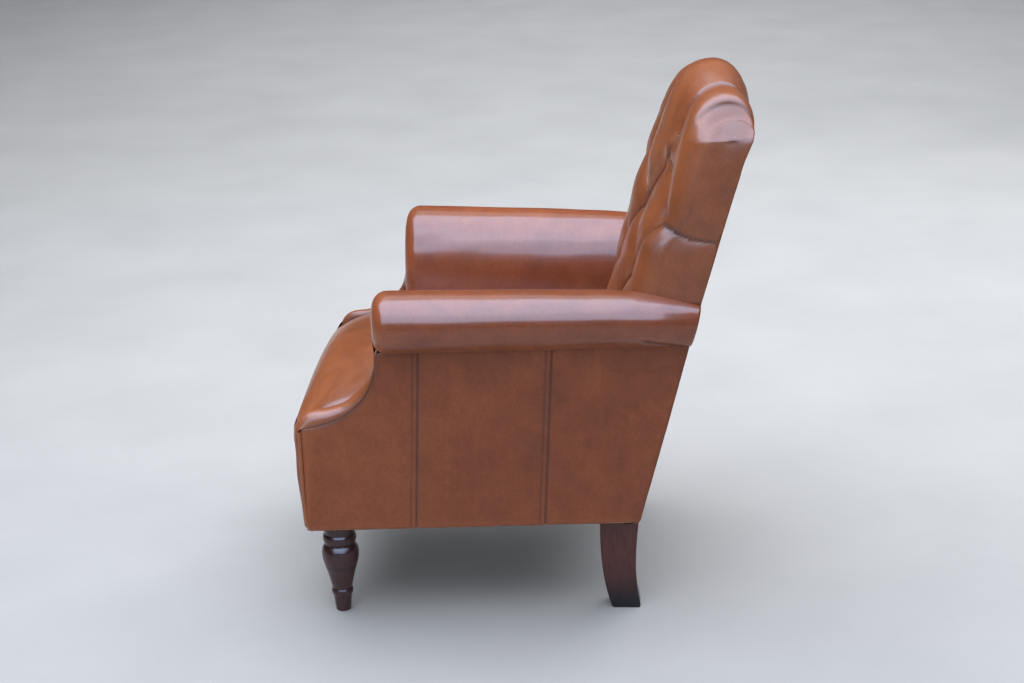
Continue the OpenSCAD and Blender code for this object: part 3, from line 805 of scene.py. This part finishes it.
SEAT_PROFILE = [(-402.5, 374), (-405.5, 384), (-407, 393), (-405, 403), (-399.5, 414), (-391, 426),
                (-380.5, 437), (-368, 446), (-352, 454), (-333, 460), (-310, 464), (-280, 467), (-230, 468),
                (-100, 462), (40, 454), (180, 448)]


def seat_drop(x):
    """How much lower the seat lies away from its middle; the sitter's right has settled a little more."""
    return np.where(x > 0, 34 * np.abs(x / 245) ** 2.3, 45 * np.abs(x / 245) ** 2)


def seat_half(y):
    """Half width of the seat: behind the facing bands in front, between the arms further back."""
    front_half, arm_half = side_x(y) - 26, side_x(y) - 77
    return front_half + (arm_half - front_half) * ease((y + 268) / 26)


def seat_points(rows, cols):
    u = edge_columns(cols, 1.15)
    lines = []
    for y0, z0 in spline(SEAT_PROFILE, rows, 1.35):
        x = u * seat_half(y0)
        gap = seat_half(y0) - np.abs(x)
        rise = np.clip((z0 - 380) / 60, 0, 1) ** 0.9
        tuck = 12 * fade(np.clip(gap, 0, None), 7)
        y = y0 + 7 * fade(gap, 9) * (1 - rise)
        lines.append(np.stack([x, y, z0 - (seat_drop(x) + tuck) * rise], axis=-1))
    return np.array(lines)


def make_seat():
    fine = seat_points(190, 190)
    rows, cols = fine.shape[:2]
    flat = fine.copy()
    coarse = fine[every(rows, 3)][:, every(cols, 3)]
    loose = np.ones(coarse.shape[:2])
    loose[:3] = loose[-1:] = 0
    loose[:, [0, -1]] = 0
    loose[:, [1, -2]] = 0.5
    shift = cloth_shift("seat_cloth", coarse, loose, 4, 8, 0.002)
    fine = fine + resample(shift, rows, cols) * 0.35
    wrinkle = 0.8 * ripple(flat, 85, 71) + 0.30 * ripple(flat * [1, 0.5, 1], 24, 72)
    fine[..., 2] += wrinkle * ease((flat[..., 2] - 385) / 30)
    y = flat[..., 1]
    gap = seat_half(y) - np.abs(flat[..., 0])
    # Painted shade in the tuck beside the arms and over the seat's front lip; the front roll is paler, partly
    # wear and partly a painted highlight.
    crease = 0.95 * fade(np.clip(gap, 0, None), 3)
    crease[:8] = np.maximum(crease[:8], 0.25)
    wear = 0.55 * bell(y + 372, 24) * ease(gap / 30)
    back_face = fine[-1:] * [1, 1, 0] + [0, 0, 300]
    front_face = fine[:1] + [0, 30, 0]
    pts = np.concatenate([front_face, fine, back_face])
    crease, wear = (np.concatenate([m[:1], m, m[-1:]]) for m in (crease, wear))
    obj = grid_object("seat_leather", pts, leather, crease=crease, wear=wear)
    finish_piece(obj, "leather", "seat_cover", "seat_foam")


# ---- arms

# Each station of an arm has its place along the arm, top, underside and half width of the scroll.
ARM_STATIONS = np.array([
    (-257, 631, 519, 56), (-180, 630, 519, 56), (-60, 628, 519.5, 55),
    (70, 625, 520, 53), (150, 622.5, 520.5, 51), (196, 619, 521, 48),
    (240, 610, 520, 41), (280, 599, 518, 32), (306, 591, 516.5, 25)])
ARM_FOOT = 396
NOSE_R = 27
CAP_SCALES = np.array([0.02, 0.25, 0.5, 0.75, 0.92])
CAP_SWELL = np.array([1.4, 1.3, 1.1, 0.8, 0.3])


def arm_section(top, low, bulge, inset, count):
    """(out, up) outline of the arm: inner wall, scroll over the top, underside, and back inside."""
    middle, tall = (top + low) / 2, (top - low) / 2 - inset
    wide = bulge - inset
    wall = [(-79, ARM_FOOT), (-79, 430), (-79, 462), (-78.6, 492), (-76.8, 520)]
    wall += [(out, low + part * (top - low)) for out, part in ((-72.5, 0.24), (-64.5, 0.473), (-54, 0.67))]
    wall = [(out + inset, up) for out, up in wall]
    scroll = [(-wide * math.cos(a), middle + tall * math.sin(a))
              for a in np.linspace(0.70, math.pi + 1.25, 13)]
    under = [(max(-3, wide * 0.02 - inset), low + inset * 0.4 + 1), (-7 - inset, low - 4),
             (-9, 470), (-9, ARM_FOOT)]
    return spline(wall + scroll + under, count)


def arm_points(rows, count):
    """Sections of the arm, smaller round its nose and tilted with the back at its rear."""
    begin, end = ARM_STATIONS[0, 0], ARM_STATIONS[-1, 0]
    nose = np.linspace(math.pi / 2, 0, rows // 7)
    places = [(begin + NOSE_R * (1 - math.sin(a)), NOSE_R * (1 - math.cos(a))) for a in nose]
    places += [(b, 0) for b in np.linspace(begin + NOSE_R, end, rows - len(places) + 1)[1:]]
    out = []
    for b, inset in places:
        top, low, bulge = (np.interp(b, ARM_STATIONS[:, 0], ARM_STATIONS[:, k]) for k in (1, 2, 3))
        section = arm_section(top, low, bulge, inset, count)
        along = b + ease((b - 190) / 110) * (section[:, 1] - 552) * LEAN
        out.append(np.insert(section, 1, along, axis=1))
    return np.array(out)


def make_arms():
    fine = arm_points(150, 168)
    rows, cols = fine.shape[:2]
    for _ in range(2):
        fine[1:-1] = 0.5 * fine[1:-1] + 0.25 * (fine[2:] + fine[:-2])
    coarse = fine[every(rows, 2)][:, ::2]
    out, along, up = coarse[..., 0], coarse[..., 1], coarse[..., 2]
    loose = np.ones(out.shape)
    loose[:, up[0] < 462] = 0
    loose[(out < 3) & (up < 530) & (out > -30)] = 0
    loose[(out < -55) & (up < 560)] = 0.1
    loose[-1:] = 0
    loose[:1] = 0.3
    loose *= 1 - 0.85 * ease((along - 215) / 60)
    shift = cloth_shift("arm_cloth", coarse, loose, 3, 8, 0.004)
    fine = fine + resample(shift, rows, cols) * 0.15
    out, along, up = fine[..., 0], fine[..., 1], fine[..., 2]
    # Painted shadow under the scroll where the roll meets the panel, and painted shade in the rear pleat
    # below; the nose's top is paler, partly wear and partly a painted highlight.
    under = np.exp(-(((up - 519) / 5) ** 2 + (np.clip(out + 2, -99, 0) / 8) ** 2)) * (out < 14)
    crease = 0.9 * under * bell(np.clip(out, 0, None), 7)
    wear = 0.5 * bell(along + 246, 12) * (up > 512)
    # The pleat where the scroll's underside is drawn in towards the rear seam.
    fold = bell(up - (536 - (along - 225) * 0.26), 4) * ease((along - 205) / 14) * (out > 0)
    fine[..., 0] -= 3.2 * fold
    crease = np.maximum(crease, 0.7 * fold)
    swell = 0.9 * ripple(fine, 90, 81) + 0.3 * ripple(fine * [1, 0.6, 1], 26, 82)
    fine = fine + normals(fine) * swell[..., None] * 0.8
    # Both ends are closed by rings that shrink towards the middle of the first and last sections.
    front, rear = fine[0].mean(axis=0), fine[-1].mean(axis=0)
    nose_rings = front + (fine[0] - front) * CAP_SCALES[:, None, None]
    nose_rings[..., 1] = np.minimum(nose_rings[..., 1], fine[0][:, 1].mean()) - CAP_SWELL[:, None]
    rear_rings = rear + (fine[-1] - rear) * CAP_SCALES[::-1, None, None]
    rear_rings[..., 1] += CAP_SWELL[::-1, None]
    pts = np.concatenate([nose_rings, fine, rear_rings])
    ends = np.zeros((5, cols))
    crease = np.concatenate([ends, crease, ends])
    wear = np.concatenate([ends + 0.25, wear, ends])
    for side, word in SIDES:
        obj = grid_object("arm_leather_" + word, place_side(pts, side), leather_arm, flip=(side == RIGHT),
                          wrap=True, crease=crease, wear=wear)
        finish_piece(obj, "leather", "arm_cover_" + word, "arm_padding_" + word)


# ---- tufted back

PITCH, RISE, TOP_ROW = 150, 104, 842
BACK_HALF, BACK_LOW = 265, 402
ROLL_Z, ROUND = 883, 45
OUTSIDE_TOP = 824
BUTTONS = [(k * PITCH, TOP_ROW - row * RISE)
           for row, places in enumerate(((-1, 0, 1), (-1.5, -0.5, 0.5, 1.5), (-1, 0, 1), (-0.5, 0.5)))
           for k in places]
TUFT_DEPTH, BUTTON_DEPTH, OUTER_SHALLOW = 21, 8.5, 0.60
TURN_SHARE = 0.41
LEAN_IN = np.array([math.cos(math.atan(LEAN)), -math.sin(math.atan(LEAN))])
CREST_MIDDLE = [(257, 883), (269, 919), (283, 948), (297, 966), (314, 978), (333, 984), (354, 985), (372, 979),
                (387, 966), (399, 946), (407, 918), (408, 892)]
CREST_SIDE = [(283, 883), (290, 906), (297, 925), (311, 943), (328, 955), (345, 961), (360, 962), (377, 957),
              (390, 946), (399, 930), (403, 912), (401, 892)]


def tuft(x, z):
    """Fullness of the padding, 0 in the pleats and 1 on the pillows, and distance to the nearest button."""
    across = np.clip(x, -1.5 * PITCH, 1.5 * PITCH) / (PITCH / 2)
    level = np.clip((z - TOP_ROW) / RISE, -3, 0)
    full = np.abs(np.sin(math.pi * (across + level) / 2)) * np.abs(np.sin(math.pi * (across - level) / 2))
    near = np.min([np.hypot(x - bx, z - bz) for bx, bz in BUTTONS], axis=0)
    return full, near


def back_edge(z):
    """Rear face of the upholstered back, which leans a little more than the frame above the arms."""
    return rear_y(z) + 0.5 + 0.026 * np.clip(np.asarray(z, float) - 600, 0, 240)


def back_depth(x, z):
    """How far the pillows stand ahead of the rear face of the frame."""
    side = 130 - 24 * ease((z - 690) / 70)
    middle = 150 - 11 * ease((z - 790) / 93)
    return side + (middle - side) * np.cos(math.pi / 2 * np.minimum(np.abs(x / 230), 1)) ** 2


def outer_share(x):
    """0 over the middle of the back, 1 on its rounded outer edges."""
    return ease((np.abs(x) - 205) / 45)


def back_half_at(y, z):
    """Half width of the pad: to the side plane above the arms, tucked inside them lower down."""
    return side_x(y) - 16 * (1 - ease((z - 566) / 34))


def pleat_fall(t):
    """How much lower the side pleat lies at t from the front (0) to the rear edge (1).
    The rounding at the front corner takes the first TURN_SHARE of it."""
    return 34 * (1 - (1 - t) ** 1.6)


def held_out(x, z):
    """The two outer buttons of the top row are drawn in less than the others."""
    return 18 * np.exp(-((np.abs(x) - PITCH) ** 2 + (z - TOP_ROW) ** 2) / 22 ** 2)


def shoulder_slope(y, z):
    """How far the top rear corners are folded in above their lower pleat."""
    return 0.5 * np.clip(z - 881, 0, 60) * ease((y - 290) / 62)


def back_profile(x, z_rows, arc_steps):
    """The back's outline in (y, z) at a sideways station: up the front, over the top, down the rear.
    The crest is lower at both sides, and lower on the sitter's right than on the left."""
    share = ease((abs(x) - 50) / 130)
    arc = spline(CREST_MIDDLE, arc_steps) * (1 - share) + spline(CREST_SIDE, arc_steps) * share
    low = 0.20 * ease((abs(x) - 185) / 80) + 0.19 * ease(-x / 45)
    arc[:, 1] = ROLL_Z + (arc[:, 1] - ROLL_Z) * (1 - low)
    front = np.stack([rear_y(z_rows) - back_depth(x, z_rows), z_rows], axis=-1)
    lead = rear_y(ROLL_Z) - back_depth(x, ROLL_Z) - arc[0, 0]
    arc[:, 0] += lead * (1 - np.linspace(0, 1, arc_steps)) ** 2
    down = z_rows[::-1]
    rear_lead = (arc[-1, 0] - back_edge(ROLL_Z)) * ease((down - 836) / 52)
    return np.concatenate([front, arc, np.stack([back_edge(down) + rear_lead, down], axis=-1)])


def inward_of(line):
    ahead = unit(np.gradient(line, axis=0))
    return np.stack([ahead[:, 1], -ahead[:, 0]], axis=-1)


def drawn_in(line, inset, bend, fronts, arc_steps):
    """The outline of a station on the rounded edge: straight back in front, with a smaller crest."""
    drawn = line.copy()
    drawn[:fronts] += LEAN_IN * inset
    arc = line[fronts:fronts + arc_steps]
    foot = arc[-1, 0]
    narrow = 1 - inset * LEAN_IN[0] / (foot - arc[0, 0])
    flat = 1 - 0.52 * math.sin(bend) ** 2.2
    settled = 1 - ease(1.5 * np.linspace(0, 1, arc_steps))
    drawn[fronts:fronts + arc_steps, 0] = foot - (foot - arc[:, 0]) * narrow
    drawn[fronts:fronts + arc_steps, 1] = ROLL_Z + (arc[:, 1] - ROLL_Z) * flat + LEAN_IN[1] * inset * settled
    return drawn


def back_grid(steps):
    """Nominal stations and (y, z) lines of the back, with steps grid cells to half a button pitch."""
    dx, dz = PITCH / 2 / steps, RISE / steps
    rows_down, rows_up = int((TOP_ROW - BACK_LOW) / dz), int((ROLL_Z - TOP_ROW) / dz)
    z_rows = np.concatenate([TOP_ROW - dz * np.arange(rows_down, 0, -1), TOP_ROW + dz * np.arange(rows_up)])
    arc_steps = 2 * int(115 / dz)
    inner = int((BACK_HALF - ROUND) / dx)
    flat_x = dx * np.arange(-inner, inner + 1)
    turn = np.linspace(0, math.pi / 2, int(steps * 0.8) + 1)[1:]
    edge_x = flat_x[-1] + (BACK_HALF - flat_x[-1]) * np.sin(turn)
    edge_in = ROUND * (1 - np.cos(turn))
    xs = np.concatenate([-edge_x[::-1], flat_x, edge_x])
    insets = np.concatenate([edge_in[::-1], 0 * flat_x, edge_in])
    turns = np.concatenate([turn[::-1], 0 * flat_x, turn])
    fronts = len(z_rows)
    columns, inward = [], []
    for x, inset, bend in zip(xs, insets, turns):
        line = back_profile(x, z_rows, arc_steps)
        own = ease((np.arange(len(line)) - fronts) / 12)[:, None]
        inward.append(inward_of(line) * own + LEAN_IN * (1 - own))
        columns.append(drawn_in(line, inset, bend, fronts, arc_steps))
    return xs, turns, z_rows, arc_steps, np.stack(columns, axis=1), np.stack(inward, axis=1)


def shaped_back(steps):
    """The tufted cover's points, its creases, and what the side walls need to meet it."""
    xs, turns, z_rows, arc_steps, base, inward = back_grid(steps)
    rows, cols = base.shape[:2]
    fronts = len(z_rows)
    rears = rows - fronts
    x = np.tile(xs, (rows, 1))
    z = np.tile(np.concatenate([z_rows, np.full(arc_steps, 900), z_rows[::-1]])[:, None], (1, cols))
    order = np.arange(rows)[:, None]
    front, rear = order < fronts, order >= rears
    crest = ~front & ~rear
    over = np.clip((order - fronts) / arc_steps, 0, 1)
    after = np.clip((order - rears) / (0.22 * fronts), 0, 1)
    corner_fall = pleat_fall(TURN_SHARE * (1 - np.cos(turns))) - LEAN * ROUND * (1 - np.cos(turns))
    full, near = tuft(x, z + np.where(rear, pleat_fall(1) * np.sin(turns), corner_fall))
    outer = outer_share(x)

    # How deep the pleats are: deepest in front, shallower over the top, gone down the rear.
    depth = np.where(front, TUFT_DEPTH, TUFT_DEPTH - 9 * ease(over * 2) - 4 * ease((over - 0.6) / 0.4))
    depth = np.where(rear, 8 * (1 - ease(after)), depth) * (1 - OUTER_SHALLOW * outer)
    depth = np.where(rear, depth * (1 - outer) + 2.4 * np.sin(turns) ** 4 * outer, depth)
    doubled = np.maximum(ease((z - TOP_ROW + 40) / 60), ease((np.abs(x) - 185) / 35))
    sink = depth * (1 - full ** (0.36 - 0.17 * doubled)) * (0.55 + 0.45 * ease((z - 450) / 60))
    sink = np.where(crest, sink * (1 - outer), sink)
    sink = sink + BUTTON_DEPTH * bell(near, 15) * front
    hollow = np.exp(-((np.abs(x) - 204) / 9) ** 2 - ((z - 762) / 24) ** 2) * front
    sink = sink + 11 * hollow
    sink = np.where(front, np.maximum(sink - held_out(x, z), 0), sink)

    # The pleat along each top corner of the back, with the leather outside it a step lower.
    corner = bell(np.abs(x) - 243, 2.6) * ease((order - fronts - 0.30 * arc_steps) / (0.12 * arc_steps))
    corner = corner * (1 - ease((order - rears + 0.10 * arc_steps) / (0.12 * arc_steps)))
    on_top = ease((order - fronts) / (0.3 * arc_steps)) * (1 - ease((order - rears) / (0.3 * arc_steps) + 1))
    sink = sink + 1 * corner + 3.2 * ease((np.abs(x) - 239) / 7) * on_top

    # Painted shade: the crease mask darkens the pleats' valleys, the corner pleat, the button pits and the
    # hollow beside the outer buttons of the second row.
    crease = np.clip(1 - full ** (1 - 0.5 * doubled) / (0.06 + 0.06 * doubled), 0, 1)
    crease = crease * np.clip(depth / 10, 0, 1) * np.where(crest, 1 - outer, 1)
    for mark in (0.45 * corner, 0.8 * bell(near, 12.5) * front, 0.85 * hollow):
        crease = np.maximum(crease, mark)
    sink = sink + 3 * crease * ~front * (1 - outer)
    yz = base + inward * (sink * np.cos(turns))[..., None]
    draw = sink * np.sin(turns) + shoulder_slope(yz[..., 0], yz[..., 1]) * np.sin(turns) ** 2
    x_real = x / BACK_HALF * back_half_at(yz[..., 0], yz[..., 1]) - np.sign(x) * draw
    return np.insert(yz, 0, x_real, axis=2), crease, fronts, full, near, sink


def side_wall(pts, crease, sink, column, side, fronts):
    """Fills the side of the back between its front and rear lines, which meet at the apex."""
    rows = pts.shape[0]
    rears = rows - fronts
    apex = fronts + int(np.argmax(pts[fronts:rears, column, 2]))
    climb = np.linspace(0, 1, max(apex - fronts, rears - apex) + 2)[1:]
    low_rows = np.arange(fronts)
    ahead_rows = np.concatenate([low_rows, np.rint(fronts - 1 + (apex - fronts + 1) * climb).astype(int)])
    rear_rows = np.concatenate([rows - 1 - low_rows, np.rint(rears + (apex - rears) * climb).astype(int)])
    front_line, rear_line = pts[ahead_rows, column], pts[rear_rows, column]
    t = np.linspace(0, 1, 32)[None, :]
    wall = front_line[:, None, :] * (1 - t[..., None]) + rear_line[:, None, :] * t[..., None]
    y, z = wall[..., 1], wall[..., 2]

    # The tufts' pleats run on from the front line and fade towards the rear one.
    fall = pleat_fall(TURN_SHARE + (1 - TURN_SHARE) * t) - pleat_fall(TURN_SHARE)
    front_sink, rear_sink = sink[ahead_rows, column], sink[rear_rows, column]
    drop = np.array([np.interp(z[:, k] + fall[0, k], z[:, 0], front_sink) for k in range(t.shape[1])]).T
    settle = ease((t - 0.80) / 0.20)
    drop = drop * (1 - 0.45 * t) * (1 - settle) + rear_sink[:, None] * settle
    pleat_z = 738 - pleat_fall(TURN_SHARE) - fall
    away = 1 - fade(np.abs(z - pleat_z), 18)
    puff = 3.2 * np.sin(math.pi * t) * away * (1 - ease((z - 830) / 45))
    fold = ease((t - 0.30) / 0.22) * np.sin(math.pi * np.clip(t, 0, 1)) ** 0.25
    lower = bell(z - 880.5 + 2 * np.sin(math.pi * t), 3.2) * fold
    faint = bell(z - pleat_z - 15 + 6 * t, 3.8) * ease((t - 0.05) / 0.15) * (1 - ease((t - 0.55) / 0.3))
    plane = back_half_at(y, z) - drop + puff - 1.3 * lower * (1 - 0.5 * t) - faint - shoulder_slope(y, z)

    # The wall meets both lines, and never goes inside the frame's uprights.
    front_gap = np.abs(front_line[:, :1]) - plane[:, :1]
    rear_gap = np.abs(rear_line[:, :1]) - plane[:, -1:]
    plane = plane + front_gap * (1 - t) ** 2 + rear_gap * t ** 2
    behind = rear_y(z) - y
    room = 2.3 + 2.4 * ease(behind / 8) + 60 * ease((behind - 52) / 12) + 60 * ease((z - 880) / 8)
    wall[:, 1:-1, 0] = side * np.maximum(plane, side_x(y) - room)[:, 1:-1]
    # Painted shade along the side wall's pleat and its lower fold.
    mark = np.maximum(0.9 * bell(z - pleat_z, 2.4), 0.45 * bell(z - 880.5, 2.6) * fold)
    mark[:, 0] = crease[ahead_rows, column]
    return wall, mark


def make_back():
    pts, crease, fronts, full, near, sink = shaped_back(28)
    rows, cols = pts.shape[:2]
    free = np.clip((full - 0.02) / 0.25, 0, 1)
    free[near < 14] = 0
    free[rows - fronts - 12:] = 0
    free[:2] = 0
    free[:, :3] = free[:, -3:] = 0
    pick_r, pick_c = every(rows, 2), every(cols, 2)
    shift = cloth_shift("back_cloth", pts[pick_r][:, pick_c], free[pick_r][:, pick_c], 3, 5, 0.004)
    pts = pts + resample(shift, rows, cols) * 0.4
    soft = 0.7 * ripple(pts, 60, 91) + 0.25 * ripple(pts, 20, 92)
    calm = np.clip(full * 3, 0, 1)
    calm[:, :2] = calm[:, -2:] = 0
    pts = pts + normals(pts) * (soft * calm)[..., None] * 0.7
    # Each grid cell is split along its deeper diagonal, so that the slanting pleats stay crisp.
    faces = []
    for a, b, e, d in grid_faces(rows, cols):
        level = full.ravel()[[a, b, e, d]]
        if level[0] + level[2] < level[1] + level[3]:
            faces += [(a, b, e), (a, e, d)]
        else:
            faces += [(a, b, d), (b, e, d)]
    main = add_object("back_leather", pts.reshape(-1, 3), faces, leather)
    set_mask(main, "crease", crease)
    # Paler on the pillows' crowns: partly stretch wear, partly a painted highlight.
    set_mask(main, "wear", 0.35 * np.clip((full - 0.5) * 2, 0, 1))
    parts = [main]
    for side, column in ((RIGHT, 0), (LEFT, cols - 1)):
        wall, mark = side_wall(pts, crease, sink, column, side, fronts)
        parts.append(grid_object("wall", wall, leather, crease=mark, wear=0.1 + 0 * mark))
    obj = join("back_leather", parts)
    merge_near(obj)
    finish_piece(obj, "leather", "inside_back_cover", "back_foam")


def make_buttons():
    """Leather-covered buttons with faint pleats, sitting in the bottom of their tufts."""
    radius, height = 11.5, 6.5
    dome = spline([(0.01, height), (radius * 0.35, height * 0.97), (radius * 0.7, height * 0.78),
                   (radius * 0.93, height * 0.42), (radius, height * 0.05), (radius * 0.94, -height * 0.25),
                   (radius * 0.7, -height * 0.5)], 22)
    turn = np.linspace(0, 2 * math.pi, 36, endpoint=False)
    spread = dome[:, :1] * (1 + 0.012 * np.cos(9 * turn))
    cap = np.stack([spread * np.cos(turn), spread * np.sin(turn), dome[:, 1:] + 0 * turn], axis=-1)
    rings, spokes = cap.shape[:2]
    lean = math.atan(LEAN)
    out = np.array([0, -math.cos(lean), math.sin(lean)])
    first = np.array([1, 0, 0])
    turned = cap @ np.array([first, np.cross(out, first), out])
    verts, faces = [], []
    for bx, bz in BUTTONS:
        depth = back_depth(bx, bz) - TUFT_DEPTH * (1 - OUTER_SHALLOW * outer_share(bx)) - BUTTON_DEPTH + 0.5
        y = rear_y(bz, depth + held_out(bx, bz))
        faces += grid_faces(rings, spokes, True, len(verts), flip=True)
        verts += (turned + [bx / BACK_HALF * side_x(y), y, bz]).reshape(-1, 3).tolist()
    obj = add_object("covered_buttons", verts, faces, leather)
    # Painted shade round each button's rim, where it sits down in its tuft.
    rim = np.repeat(np.linspace(0, 1, rings) ** 6, spokes)
    set_mask(obj, "crease", np.tile(rim, len(BUTTONS)) * 0.8)
    set_mask(obj, "wear", np.full(len(verts), 0.2))
    merge_near(obj)
    finish_piece(obj, "leather_trim", "back_buttons")


# ---- outside back

def outside_back():
    """The plain rear panel, rolled at its edges and turned round the two side panels and under the frame."""
    u = edge_columns(120, 1.4)[None, :]
    z = UNDERSIDE + (OUTSIDE_TOP - UNDERSIDE) * edge_spread(130)[:, None] + 0 * u
    half = side_x(back_edge(z)) - 0.4
    edge, low, high = half * (1 - np.abs(u)), z - UNDERSIDE, OUTSIDE_TOP - z
    out = 1.6 * (1 - fade(edge, 5)) * (1 - fade(high, 4)) + 0.2
    out += 0.8 * (1 - fade(edge, 70)) * (1 - fade(high, 80)) * (1 - fade(low, 80))
    out -= 4.5 * (1 - ease(low / 9)) ** 2
    pts = np.stack([u * half, back_edge(z) + out, z], axis=-1)
    pts[..., 1] += 0.5 * ripple(pts, 75, 101) + 0.18 * ripple(pts, 22, 102)
    hem = pts[:1] + [0, -3, -0.2]
    pts = np.concatenate([hem + [0, -22, 0], hem, pts])
    pts = np.concatenate([pts[:, :1] + [0.9, -6, 0], pts, pts[:, -1:] + [-0.9, -6, 0]], axis=1)
    # Painted shade where the panel tucks in at its top and turns round its sides and under its foot; its foot
    # is paler, partly wear and partly a painted highlight.
    crease = pad_rows(0.1 * fade(edge, 2.2) + 0.85 * fade(high, 2.4), 0.4, 0.4)
    wear = pad_rows(0.5 * bell(low - 5, 6), 0, 0)
    crease, wear = (np.concatenate([m[:, :1], m, m[:, -1:]], axis=1) for m in (crease, wear))
    obj = grid_object("outside_back_leather", pts, leather_side, flip=True, crease=crease, wear=wear)
    finish_piece(obj, "leather", "outside_back_panel")


# ---- dust cover under the frame

def dust_cover():
    v = np.linspace(0, 1, 60)[:, None]
    u = np.linspace(-1, 1, 60)[None, :]
    y = (FRONT_Y + 6) + (rear_y(UNDERSIDE, 8) - FRONT_Y - 6) * v + 0 * u
    x = u * (side_x(y) - 7)
    sag = 0.66 * (1 - u ** 4) * (1 - (2 * v - 1) ** 4)
    pts = np.stack([x, y, UNDERSIDE + 1.2 - sag], axis=-1)
    pts[..., 2] += 0.25 * ripple(pts, 50, 111)
    obj = grid_object("dust_cover_cloth", pts, cambric, flip=True)
    finish_piece(obj, "black_cambric", "dust_cover")


# ---- the whole scene

make_camera()
make_studio()
for side, word in SIDES:
    side_panels(side, word)
for side, word in SIDES:
    facing_band(side, word)
for side, word in SIDES:
    front_leg(word)
    rear_leg(side, word)
front_border()
for side, word in SIDES:
    welt(side, word)
make_seat()
make_arms()
make_back()
make_buttons()
outside_back()
dust_cover()

for node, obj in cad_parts.items():
    finish = next(material for word, material in CAD_FINISH if word in node)
    obj.data.materials.clear()
    obj.data.materials.append(finish)
